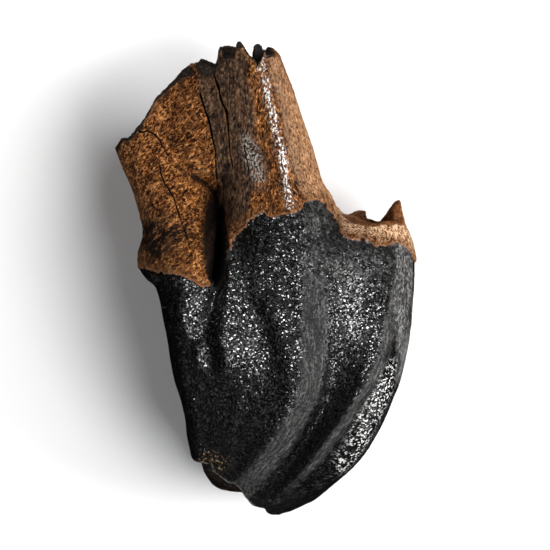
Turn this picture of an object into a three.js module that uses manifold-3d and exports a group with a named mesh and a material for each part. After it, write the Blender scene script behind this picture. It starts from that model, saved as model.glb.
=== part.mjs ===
// Fossil tooth of a woolly rhinoceros: one upper cheek tooth, lying on its tongue side.
// Millimetres. X runs across the crown, Y runs from the worn end (-Y) to the root tips (+Y),
// and Z is up, away from the surface that the tooth lies on. The cheek face is on top.
// The origin is under the middle of the tooth, on that surface.
import * as THREE from 'three';
import { mergeVertices } from 'three/addons/utils/BufferGeometryUtils.js';
import Module from 'manifold-3d';

const wasm = await Module();
wasm.setup();

// ---------------------------------------------------------------- driving dimensions
const CROWN_AROUND = 72;          // facets round the crown
const CROWN_ALONG = 34;           // rings along the crown
const ROOT_AROUND = 28;
const ROOT_ALONG = 12;
const SQUARENESS = 2.5;           // exponent of the crown's rounded section on the tongue side
// exponent of the section on the cheek side, [Y, exponent], left and right of the middle: the cheek
// face is flatter than the tongue side, with tighter margins
const CHEEK_SQUARENESS_LEFT = [[-48, 3.5], [-30, 4.2], [-12, 5.0], [13, 4.0]];
const CHEEK_SQUARENESS_RIGHT = [[-48, 4.0], [-38, 5.0], [-24, 4.6], [-10, 3.3], [13, 2.9]];
const ROOT_SQUARENESS = 2.5;
const CANAL_SQUARENESS = 2.0;
const REST_Z = 0;                 // the surface the tooth lies on

// crown sections across Y: [Y, left edge X, right edge X, widest height Z, top Z, bottom Z]
const CROWN = [
  [-48.6, 0.2, 1.6, 15.4, 16.2, 14.6],
  [-48.2, -2.4, 4.1, 15.4, 17.8, 13.4],
  [-46.9, -6.6, 7.2, 15.6, 21.6, 11.2],
  [-45.3, -9.6, 10.3, 15.9, 24.6, 9.4],
  [-42.8, -12.6, 13.3, 16.4, 28.4, 7.4],
  [-40.2, -14.2, 16.4, 17.0, 31.4, 5.8],
  [-37.3, -15.0, 19.3, 17.6, 34.3, 4.3],
  [-35.0, -15.4, 21.0, 18.0, 36.3, 3.3],
  [-32.0, -16.0, 22.8, 18.6, 38.7, 2.2],
  [-28.9, -16.3, 24.4, 19.1, 40.8, 1.3],
  [-24.8, -17.2, 26.1, 19.8, 43.0, 0.5],
  [-20.7, -18.5, 27.7, 20.3, 44.6, -0.1],
  [-16.6, -19.3, 28.7, 20.8, 45.6, -0.5],
  [-12.5, -19.9, 29.5, 21.2, 46.0, -0.7],
  [-8.4, -20.7, 30.0, 21.5, 46.0, -0.7],
  [-4.3, -21.5, 30.3, 21.8, 45.5, -0.6],
  [-1.8, -22.2, 30.5, 21.9, 45.0, -0.5],
  [0.2, -24.4, 30.5, 22.0, 44.5, -0.3],
  [2.2, -25.4, 30.5, 22.0, 43.9, 0.0],
  [4.3, -25.6, 30.4, 22.0, 43.2, 0.5],
  [8.0, -24.6, 29.4, 22.0, 41.0, 2.0],
  [11.0, -23.0, 26.6, 22.0, 36.5, 5.5],
  [13.0, -19.0, 22.0, 22.0, 30.0, 12.0],
];

// relief of the cheek face: each line runs along the crown as [Y, X, height above the plain section]
const CHEEK_LINES = [
  // left shoulder
  [[16, -21.5, 0.4], [-1.2, -20.9, 0.6], [-6.4, -19.8, 0.8], [-10.5, -18.6, 0.8], [-14, -17.8, 0.3], [-20, -16.8, 0.0], [-25, -15.2, -0.4], [-40, -12.8, 0], [-45, -9.0, 0]],
  // crest of the shoulder
  [[16, -19.4, 1.2], [-1.2, -19.0, 1.9], [-6.4, -17.8, 2.0], [-10.0, -16.8, 1.2], [-12.5, -16.2, -0.1], [-14, -15.6, -0.7], [-20, -14.6, -1.4], [-25, -13.4, -1.8], [-31, -12.6, -1.8], [-40, -11.2, -0.6], [-45, -8.4, 0]],
  // slope below the shoulder
  [[16, -11.6, -1.6], [1, -11.0, -1.4], [-2, -11.2, -1.3], [-6.4, -12.8, -1.2], [-10.2, -14.2, -0.9], [-14, -14.0, -1.0], [-20, -12.6, -1.6], [-25, -11.8, -2.2], [-31, -11.2, -2.1], [-40, -10.0, -0.7], [-45, -8.0, 0]],
  // deep groove that carries on from the cleft between the roots
  [[16, -9.8, -3.6], [4, -9.7, -3.4], [0.8, -9.6, -3.2], [-5, -10.4, -2.8], [-8.4, -11.2, -2.4], [-11.5, -11.8, -1.7], [-14, -11.4, -1.3], [-20, -10.6, -1.6], [-25, -10.0, -2.0], [-31, -9.4, -1.8], [-40, -9.2, -0.6], [-45, -7.8, 0]],
  // narrow rib
  [[16, -7.6, 0.0], [1, -7.4, 0.1], [-3.3, -7.9, 0.3], [-8.4, -8.7, 0.4], [-13.5, -8.8, 0.4], [-17.6, -8.3, 0.2], [-20, -8.2, -0.7], [-23, -8.0, -1.4], [-26, -7.8, -1.6], [-31, -7.4, -1.3], [-38, -7.8, -0.6], [-45, -7.4, 0]],
  // slanting valley
  [[16, -6.4, 0.1], [1.2, -5.6, 0.0], [-2, -4.4, -0.2], [-4.3, -3.2, -0.4], [-8.4, -1.4, -0.6], [-13.5, -0.2, -0.7], [-18, 0.4, -0.5], [-20.7, 0.8, -0.1], [-25.8, -0.6, 0.2], [-30, -2.4, 0.2], [-35, -4.6, 0.1], [-40, -6.2, 0.0], [-45, -5.9, 0]],
  // foot of the middle fold
  [[16, -2.4, 0.5], [4, -1.6, 0.5], [1.2, -0.6, 0.6], [-2, 0.6, 0.6], [-4.3, 1.4, 0.6], [-8.4, 2.8, 0.7], [-13.5, 4.6, 0.9], [-18, 5.6, 1.3], [-20.7, 6.4, 1.5], [-25.8, 5.0, 1.9], [-29.9, 2.8, 2.0], [-35, -1.0, 1.9], [-40, -4.4, 1.2], [-45, -4.4, 0.4]],
  // crest of the middle fold
  [[16, 7.2, 0.4], [4, 7.2, 0.4], [-4, 7.0, 0.5], [-13, 7.4, 0.8], [-18, 8.4, 1.3], [-21, 8.8, 1.5], [-25.8, 7.4, 1.8], [-30, 5.0, 1.9], [-35, 1.4, 1.7], [-40, -2.4, 1.1], [-45, -3.2, 0.4]],
  // middle fold, its right side
  [[16, 11.8, 0.2], [4, 12.0, 0.3], [-4, 11.8, 0.4], [-13, 11.6, 0.7], [-21, 10.9, 1.2], [-25, 9.7, 1.4], [-30, 7.1, 1.6], [-35, 3.7, 1.5], [-40, -0.3, 1.0], [-45, -2.1, 0.4]],
  // valley between the folds
  [[16, 16.6, 0.0], [4, 16.2, 0.0], [-4, 15.4, -0.2], [-13, 14.6, -1.1], [-21, 13.6, -1.8], [-25, 12.4, -1.9], [-30, 9.8, -1.9], [-35, 6.8, -1.8], [-40, 3.4, -1.4], [-45, 0.2, -0.8]],
  // right fold
  [[16, 25.6, 0.4], [4, 27.4, 0.6], [-4, 26.0, 1.2], [-10, 25.0, 1.6], [-17, 23.4, 1.9], [-21, 21.4, 2.1], [-26, 17.4, 2.2], [-31, 14.2, 2.2], [-35, 11.2, 2.1], [-40, 7.2, 1.7], [-45, 2.4, 1.0]],
  // hollow beyond the right fold
  [[16, 27.0, 0], [4, 28.6, 0], [-4, 28.2, 0], [-17, 26.0, -0.3], [-21, 23.4, -0.5], [-26, 20.0, -0.6], [-31, 17.2, -0.6], [-35, 14.6, -0.6], [-40, 10.6, -0.4], [-45, 5.4, -0.2]],
  // swelling of the right margin
  [[16, 29.2, 0], [4, 29.6, 0], [-17, 27.6, 0], [-21, 26.6, 0.5], [-26, 24.4, 1.2], [-31, 22.0, 1.5], [-35, 19.8, 1.5], [-40, 15.4, 1.2], [-45, 9.0, 0.5]],
];
const RELIEF_END = -45;           // past here the lines close up with the crown and fade out
const RELIEF_FADE = 3.6;

// relief of the tongue face: two lobes that the tooth lies on, and the valley between them
const TONGUE_LINES = [
  [[16, -12, 1.5], [-8, -10.5, 3.6], [-30, -8.5, 2.0], [-45, -6, 0]],
  [[16, 2.0, -3.0], [-8, 2.6, -4.5], [-30, 2.4, -3.5], [-45, 0.4, -1]],
  [[16, 16, 0.8], [-8, 16.5, 1.9], [-30, 11, 1.0], [-45, 4, 0]],
];

// roots, as crown: [Y, left X, right X, widest Z, top Z, bottom Z]
const LEFT_ROOT = [
  [-5.0, -20.4, -10.6, 23, 38.6, 8.0],
  [-1.0, -22.0, -10.2, 23, 40.4, 8.0],
  [2.0, -25.2, -10.0, 23, 40.9, 8.2],
  [5.0, -25.4, -9.8, 23, 40.6, 8.6],
  [9.0, -24.8, -9.6, 23, 39.4, 9.4],
  [14.4, -25.9, -9.7, 23, 37.2, 10.6],
  [20.3, -28.0, -9.9, 23, 34.8, 11.8],
  [24.4, -29.7, -9.9, 22.6, 33.3, 12.6],
  [28.5, -30.9, -10.4, 22.2, 32.0, 13.2],
  [32.6, -30.6, -10.6, 22.0, 31.0, 13.8],
  [36.7, -29.6, -10.4, 21.8, 30.2, 14.4],
  [41.0, -26.0, -10.2, 21.6, 29.2, 15.0],
  [45.6, -21.0, -10.2, 21.4, 28.4, 15.6],
];
const TALL_ROOT = [
  [-5.0, -7.0, 20.0, 23, 44.4, 5.0],
  [0.0, -8.0, 18.8, 23, 44.9, 5.0],
  [4.0, -8.8, 17.8, 23, 44.6, 5.4],
  [8.0, -9.4, 16.6, 23.4, 43.6, 6.2],
  [13.1, -9.6, 14.9, 24.0, 42.0, 7.8],
  [17.0, -10.0, 13.2, 24.6, 40.6, 9.4],
  [20.3, -10.2, 11.6, 25.0, 39.4, 11.0],
  [28.5, -11.2, 9.2, 25.6, 37.2, 14.2],
  [36.7, -12.4, 6.6, 26.2, 35.4, 17.0],
  [42.0, -10.9, 5.0, 26.6, 34.4, 18.6],
  [45.2, -9.8, 3.6, 26.8, 33.6, 19.6],
  [47.0, -9.5, 2.8, 26.9, 33.2, 20.2],
  [48.6, -9.4, 2.0, 27.0, 33.0, 20.6],
];
const RIGHT_ROOT = [
  [-2.0, 14.6, 29.8, 23, 39.0, 8.0],
  [3.5, 14.8, 30.3, 23, 38.4, 9.0],
  [8.0, 15.0, 29.9, 23, 36.8, 10.2],
  [11.1, 15.4, 28.8, 23, 35.2, 11.2],
  [14.0, 16.2, 28.1, 23, 34.2, 12.0],
  [17.0, 16.8, 27.8, 23, 33.6, 12.6],
];
// the cementum that joins the left and the tall root above their cleft
const WEB = [
  [14.6, -14.0, -6.0, 22.0, 23.4, 20.0],
  [17.0, -15.0, -5.0, 22.8, 28.0, 17.0],
  [19.0, -16.4, -4.0, 23.2, 32.0, 15.0],
  [22.0, -18.6, -2.0, 23.5, 35.4, 14.4],
  [28.5, -20.0, -2.0, 23.6, 34.4, 16.0],
  [36.7, -19.6, -4.0, 24.0, 32.8, 18.0],
  [42.0, -16.0, -5.6, 24.2, 31.4, 19.0],
  [44.6, -14.6, -7.0, 24.4, 30.4, 19.6],
];
const TONGUE_ROOT = [
  [-4.0, -18.0, 8.0, 8, 20.0, -0.3],
  [4.0, -18.4, 6.6, 7.6, 19.0, -0.4],
  [12.0, -18.0, 4.6, 7.0, 17.0, -0.5],
  [20.0, -17.2, 2.2, 6.4, 14.4, -0.6],
  [26.0, -16.4, 0.2, 6.0, 12.2, -0.4],
  [31.0, -15.2, -2.2, 5.8, 10.4, 0.6],
];

// pulp canals, open at the broken root ends
const LEFT_CANAL = [
  [16, -21.0, -14.6, 22.4, 24.2, 20.6],
  [24, -25.4, -15.6, 22.4, 25.4, 19.4],
  [30, -27.2, -15.6, 22.0, 25.8, 18.2],
  [50, -24.6, -15.2, 21.6, 25.2, 18.0],
];
const TALL_CANAL = [
  [22, -3.6, 3.0, 25.4, 28.0, 22.8],
  [32, -5.6, 1.6, 26.0, 29.8, 22.6],
  [40, -6.9, 1.1, 26.6, 30.9, 22.7],
  [52, -7.2, 0.0, 26.9, 31.1, 22.8],
];
const RIGHT_CANAL = [
  [4.5, 19.4, 26.2, 23, 27.0, 19.0],
  [7.5, 18.2, 26.8, 23, 30.6, 16.2],
  [11.0, 17.9, 26.6, 23, 31.6, 15.4],
  [24.0, 17.9, 26.4, 23, 31.6, 15.4],
];
const TONGUE_CANAL = [
  [20, -11.6, -6.0, 5.9, 7.6, 4.2],
  [26, -12.6, -4.6, 5.9, 8.6, 3.2],
  [36, -12.6, -4.6, 5.9, 8.6, 3.2],
];

// broken root ends, as lines of [X, Y]: what lies beyond the line is gone. Each has a front
// line (upper wall) and a back line (lower wall), which meet at the height SPLIT.
const LEFT_BREAK_FRONT = [[-34, 25.0], [-30.3, 27.0], [-29.4, 28.7], [-28.1, 28.6], [-26.7, 29.9], [-24.6, 32.6], [-23.0, 35.6], [-21.9, 37.3], [-20.5, 38.4], [-18.5, 40.4], [-16.8, 42.2], [-15.4, 42.8], [-13.7, 43.1], [-13.0, 43.8], [-11.9, 43.2], [-10.5, 42.6], [-10.0, 41.8]];
const LEFT_BREAK_BACK = [[-34, 24.6], [-30.3, 26.6], [-28.1, 27.6], [-25.0, 31.0], [-22.0, 36.4], [-18.5, 39.4], [-15.4, 42.0], [-13.2, 43.6], [-11.8, 42.2], [-10.4, 41.9], [-10.0, 41.6]];
const LEFT_SPLIT = 22;
const TALL_BREAK_FRONT = [[-14, 41.6], [-10.3, 41.8], [-9.6, 44.5], [-9.4, 47.4], [-8.8, 47.4], [-8.6, 45.5], [-7.5, 45.7], [-6.2, 45.3], [-5.9, 47.6], [-5.5, 48.4], [-4.8, 48.2], [-4.1, 46.9], [-3.1, 45.5], [-2.2, 44.9], [-1.4, 43.7], [-0.6, 45.3], [-0.2, 46.9], [0.4, 45.5], [2.7, 46.1], [3.6, 44.0], [5.2, 40.0], [7, 36]];
const TALL_BREAK_BACK = [[-14, 41.6], [-10.3, 41.8], [-9.4, 47.0], [-8.2, 47.5], [-6.0, 47.7], [-4.8, 46.8], [-3.4, 45.2], [-2.6, 45.2], [-2.3, 47.6], [-1.6, 48.3], [-0.8, 47.9], [-0.2, 46.6], [0.6, 47.5], [1.9, 47.2], [3.1, 45.6], [5.2, 40.0], [7, 36]];
const TALL_SPLIT = 26.8;
const RIGHT_BREAK_FRONT = [[13, 13.2], [15.6, 12.6], [16.6, 12.2], [18.0, 11.9], [20.6, 11.3], [22.6, 11.3], [23.8, 11.7], [26.6, 11.7], [28.2, 11.7], [31, 10.6]];
const RIGHT_BREAK_BACK = [[13, 12.6], [16.8, 12.5], [18.5, 13.8], [19.5, 14.2], [20.7, 14.0], [21.0, 11.0], [23.1, 10.9], [25.2, 13.8], [26.7, 15.8], [27.5, 16.2], [28.0, 15.2], [28.5, 12.2], [31, 10.2]];
const RIGHT_SPLIT = 28.0;
const TONGUE_BREAK = [[-20, 27.0], [-16.0, 28.6], [-13.0, 30.2], [-10.5, 29.2], [-8.0, 30.6], [-5.0, 29.0], [-2.0, 27.6], [2, 26.0]];

// worn end: a tall, nearly upright facet that cuts the lower left of the crown
const WEAR_POINT = [-7.4, -42.5];
const WEAR_NORMAL = [-0.611, -0.791];
const WEAR_BASIN = 2.6;           // depth of the worn dentine behind the enamel rim
const WEAR_LOBE = 2.2;            // how far the tongue-side lobe stands out
const WEAR_GRID = 26;

// ---------------------------------------------------------------- helpers
const spow = (v, e) => Math.sign(v) * Math.pow(Math.abs(v), e);
const clamp = (v, a, b) => Math.min(b, Math.max(a, v));
const smooth = (a, b, v) => { const t = clamp((v - a) / (b - a), 0, 1); return t * t * (3 - 2 * t); };

// straight interpolation in a table sorted by its first column, either way up
function at(table, y, col) {
  const rows = table[0][0] <= table[table.length - 1][0] ? table : [...table].reverse();
  if (y <= rows[0][0]) return rows[0][col];
  for (let i = 1; i < rows.length; i++) {
    if (y <= rows[i][0]) {
      const t = (y - rows[i - 1][0]) / (rows[i][0] - rows[i - 1][0]);
      return rows[i - 1][col] * (1 - t) + rows[i][col] * t;
    }
  }
  return rows[rows.length - 1][col];
}

// height of the relief at x, y: eased between neighbouring lines, and nothing at the edges
function relief(lines, x, y, left, right) {
  let fade = 1;
  if (y < RELIEF_END) {
    fade = 1 - smooth(0, RELIEF_FADE, RELIEF_END - y);
    const l = at(CROWN, RELIEF_END, 1), r = at(CROWN, RELIEF_END, 2);
    x = l + (r - l) * (x - left) / (right - left);
    left = l; right = r; y = RELIEF_END;
  }
  const xs = [left], hs = [0];
  for (const line of lines) {
    const lx = at(line, y, 1);
    if (lx > xs[xs.length - 1] + 0.15 && lx < right - 0.15) { xs.push(lx); hs.push(at(line, y, 2)); }
  }
  xs.push(right); hs.push(0);
  for (let i = 1; i < xs.length; i++) {
    if (x <= xs[i]) {
      const t = smooth(xs[i - 1], xs[i], x);
      return fade * (hs[i - 1] * (1 - t) + hs[i] * t);
    }
  }
  return 0;
}

function toSolid(geometry) {
  let g = geometry.index ? geometry : mergeVertices(geometry);
  g.deleteAttribute('normal');
  g.deleteAttribute('uv');
  g = mergeVertices(g, 1e-5);
  return new wasm.Manifold(new wasm.Mesh({
    numProp: 3,
    vertProperties: new Float32Array(g.attributes.position.array),
    triVerts: new Uint32Array(g.index.array),
  }));
}

// a body whose sections across Y are rounded rectangles: a cylinder with its rings moved
function sectionBody(table, around, along, squareness, top = null, bottom = null, squareLeft = null, squareRight = null) {
  const g = new THREE.CylinderGeometry(1, 1, 1, around, along);
  g.deleteAttribute('normal');
  g.deleteAttribute('uv');
  const merged = mergeVertices(g, 1e-4);
  const p = merged.attributes.position;
  const ys = table.map((r) => r[0]);
  const y0 = Math.min(...ys), y1 = Math.max(...ys);
  for (let i = 0; i < p.count; i++) {
    // rings are spaced by the table's own rows, so a closely tabled end keeps its shape
    const s = clamp(p.getY(i) + 0.5, 0, 1) * (table.length - 1);
    const k = Math.min(Math.floor(s), table.length - 2);
    const y = along === table.length - 1 ? table[Math.round(s)][0] : ys[k] + (ys[k + 1] - ys[k]) * (s - k);
    const r = Math.min(1, Math.hypot(p.getX(i), p.getZ(i)));
    const a = Math.atan2(p.getZ(i), p.getX(i));
    const xl = at(table, y, 1), xr = at(table, y, 2), zc = at(table, y, 3);
    const zt = at(table, y, 4), zb = at(table, y, 5);
    const cx = (xl + xr) / 2, w = (xr - xl) / 2;
    const side = Math.cos(a) < 0 ? squareLeft : squareRight;
    const e = side && Math.sin(a) > 0 ? at(side, y, 1) : squareness;
    const x = cx + r * w * spow(Math.cos(a), 2 / e);
    const up = r * spow(Math.sin(a), 2 / e);
    let h = up > 0 ? zt - zc : zc - zb;
    if (up > 0 && top) h += relief(top, x, y, xl, xr);
    if (up < 0 && bottom) h += relief(bottom, x, y, xl, xr);
    p.setXYZ(i, x, clamp(y, y0, y1), zc + up * h);
  }
  return toSolid(merged);
}

// everything beyond a broken line, between two heights
function beyond(line, z0, z1) {
  const s = new THREE.Shape();
  s.moveTo(line[0][0], line[0][1]);
  for (let i = 1; i < line.length; i++) s.lineTo(line[i][0], line[i][1]);
  s.lineTo(line[line.length - 1][0], 60);
  s.lineTo(line[0][0], 60);
  s.closePath();
  const g = new THREE.ExtrudeGeometry(s, { depth: z1 - z0, bevelEnabled: false, steps: 1 });
  g.translate(0, 0, z0);
  return toSolid(g);
}

// depth of the worn facet behind its plane, at t across it and z up it (more is deeper)
function wearDepth(t, z) {
  const rt = t / 8.6, rz = (z - 16) / 12.5;
  const r = Math.pow(Math.pow(Math.abs(rt), 2.4) + Math.pow(Math.abs(rz), 2.4), 1 / 2.4);
  let d = WEAR_BASIN * (1 - smooth(0.55, 0.86, r));
  d += 0.7 * Math.exp(-((t - 1.2) ** 2 + (z - 19) ** 2) / 8);
  const lobe = Math.exp(-Math.pow((t + 2.2) / 4.6, 4)) * (1 - smooth(17, 22, z)) * smooth(2, 9, z);
  d -= WEAR_LOBE * lobe;
  d += 1.0 * Math.exp(-((t + 1.5) ** 2) / 18) * smooth(22, 25, z);
  return d;
}

function wearCutter() {
  const g = new THREE.BoxGeometry(40, 60, 30, WEAR_GRID, WEAR_GRID, 1);
  g.deleteAttribute('normal');
  g.deleteAttribute('uv');
  const merged = mergeVertices(g, 1e-4);
  const p = merged.attributes.position;
  const [nx, ny] = WEAR_NORMAL;
  for (let i = 0; i < p.count; i++) {
    // box x is across the facet, box y is up it, and box z is out along its normal
    const t = p.getX(i), z = p.getY(i) + 16;
    const out = p.getZ(i) < 0 ? -wearDepth(t, z) : 30;
    p.setXYZ(i, WEAR_POINT[0] - ny * t + nx * out, WEAR_POINT[1] + nx * t + ny * out, z);
  }
  return toSolid(merged);
}

// ---------------------------------------------------------------- the tooth
const crown = sectionBody(CROWN, CROWN_AROUND, CROWN_ALONG, SQUARENESS, CHEEK_LINES, TONGUE_LINES,
  CHEEK_SQUARENESS_LEFT, CHEEK_SQUARENESS_RIGHT);

const leftRoot = sectionBody(LEFT_ROOT, ROOT_AROUND, ROOT_ALONG, ROOT_SQUARENESS)
  .subtract(beyond(LEFT_BREAK_FRONT, LEFT_SPLIT, 60))
  .subtract(beyond(LEFT_BREAK_BACK, -10, LEFT_SPLIT));
const tallRoot = sectionBody(TALL_ROOT, ROOT_AROUND, ROOT_ALONG + 2, ROOT_SQUARENESS)
  .subtract(beyond(TALL_BREAK_FRONT, TALL_SPLIT, 60))
  .subtract(beyond(TALL_BREAK_BACK, -10, TALL_SPLIT));
const rightRoot = sectionBody(RIGHT_ROOT, ROOT_AROUND, ROOT_ALONG - 4, ROOT_SQUARENESS)
  .subtract(beyond(RIGHT_BREAK_FRONT, RIGHT_SPLIT, 60))
  .subtract(beyond(RIGHT_BREAK_BACK, -10, RIGHT_SPLIT));
const tongueRoot = sectionBody(TONGUE_ROOT, ROOT_AROUND, ROOT_ALONG - 4, ROOT_SQUARENESS)
  .subtract(beyond(TONGUE_BREAK, -10, 60));

const web = sectionBody(WEB, ROOT_AROUND, ROOT_ALONG - 4, ROOT_SQUARENESS)
  .subtract(beyond(LEFT_BREAK_FRONT, LEFT_SPLIT, 60))
  .subtract(beyond(LEFT_BREAK_BACK, -10, LEFT_SPLIT));

let body = crown.add(tongueRoot).add(leftRoot).add(tallRoot).add(web).add(rightRoot);
body = body
  .subtract(sectionBody(LEFT_CANAL, 16, 6, CANAL_SQUARENESS))
  .subtract(sectionBody(TALL_CANAL, 16, 6, CANAL_SQUARENESS))
  .subtract(sectionBody(RIGHT_CANAL, 18, 6, CANAL_SQUARENESS))
  .subtract(sectionBody(TONGUE_CANAL, 14, 4, CANAL_SQUARENESS));
body = body.subtract(wearCutter());

// the lobes and the tongue root are flattened where the tooth rests
const under = new THREE.BoxGeometry(140, 160, 20);
under.translate(0, 0, REST_Z - 10);
body = body.subtract(toSolid(under));

const pieces = body.decompose();
pieces.sort((a, b) => b.numTri() - a.numTri());
const mesh = pieces[0].getMesh();
const geometry = new THREE.BufferGeometry();
geometry.setAttribute('position', new THREE.BufferAttribute(new Float32Array(mesh.vertProperties), 3));
geometry.setIndex(new THREE.BufferAttribute(new Uint32Array(mesh.triVerts), 1));
geometry.computeVertexNormals();

const tooth = new THREE.Mesh(
  geometry,
  new THREE.MeshStandardMaterial({ color: 0x2a2623, roughness: 0.42, metalness: 0 }),
);
tooth.name = 'tooth';

const group = new THREE.Group();
group.add(tooth);
export default group;
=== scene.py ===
import bpy
import bmesh
import math
import numpy as np
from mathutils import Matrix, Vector


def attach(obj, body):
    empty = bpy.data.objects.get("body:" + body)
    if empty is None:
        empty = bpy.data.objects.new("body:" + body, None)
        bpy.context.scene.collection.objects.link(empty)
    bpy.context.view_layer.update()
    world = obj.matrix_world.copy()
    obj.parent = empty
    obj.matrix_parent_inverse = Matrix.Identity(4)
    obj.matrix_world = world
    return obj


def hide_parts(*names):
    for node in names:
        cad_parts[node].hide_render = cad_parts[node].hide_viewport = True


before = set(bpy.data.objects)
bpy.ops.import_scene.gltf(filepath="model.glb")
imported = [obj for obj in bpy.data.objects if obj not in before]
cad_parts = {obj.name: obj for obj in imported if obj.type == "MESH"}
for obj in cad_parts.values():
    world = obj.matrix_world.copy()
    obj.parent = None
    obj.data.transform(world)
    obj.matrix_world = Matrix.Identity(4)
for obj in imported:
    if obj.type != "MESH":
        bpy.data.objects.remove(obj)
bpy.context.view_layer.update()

MM = 0.001

# ======================================================================================
# Lengths in this part are millimetres. X across the crown, Y from the worn end to the
# root tips, Z up out of the cheek face, as in the CAD.
# ======================================================================================

# [Y, left X, right X, widest Z, top Z, bottom Z]
CHEEK_SQUARENESS_LEFT = [[-48, 3.5], [-30, 4.2], [-12, 5.0], [13, 4.0]]
CHEEK_SQUARENESS_RIGHT = [[-48, 4.0], [-38, 5.0], [-24, 4.6], [-10, 3.3], [13, 2.9]]
CROWN = [
    [-48.6, 0.2, 1.6, 15.4, 16.2, 14.6],
    [-48.2, -2.4, 4.1, 15.4, 17.8, 13.4],
    [-46.9, -6.6, 7.2, 15.6, 21.6, 11.2],
    [-45.3, -9.6, 10.3, 15.9, 24.6, 9.4],
    [-42.8, -12.6, 13.3, 16.4, 28.4, 7.4],
    [-40.2, -14.2, 16.4, 17.0, 31.4, 5.8],
    [-37.3, -15.0, 19.3, 17.6, 34.3, 4.3],
    [-35.0, -15.4, 21.0, 18.0, 36.3, 3.3],
    [-32.0, -16.0, 22.8, 18.6, 38.7, 2.2],
    [-28.9, -16.3, 24.4, 19.1, 40.8, 1.3],
    [-24.8, -17.2, 26.1, 19.8, 43.0, 0.5],
    [-20.7, -18.5, 27.7, 20.3, 44.6, -0.1],
    [-16.6, -19.3, 28.7, 20.8, 45.6, -0.5],
    [-12.5, -19.9, 29.5, 21.2, 46.0, -0.7],
    [-8.4, -20.7, 30.0, 21.5, 46.0, -0.7],
    [-4.3, -21.5, 30.3, 21.8, 45.5, -0.6],
    [-1.8, -22.2, 30.5, 21.9, 45.0, -0.5],
    [0.2, -24.4, 30.5, 22.0, 44.5, -0.3],
    [2.2, -25.4, 30.5, 22.0, 43.9, 0.0],
    [4.3, -25.6, 30.4, 22.0, 43.2, 0.5],
    [8.0, -24.6, 29.4, 22.0, 41.0, 2.0],
    [11.0, -23.0, 26.6, 22.0, 36.5, 5.5],
    [13.0, -19.0, 22.0, 22.0, 30.0, 12.0],
]

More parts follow.
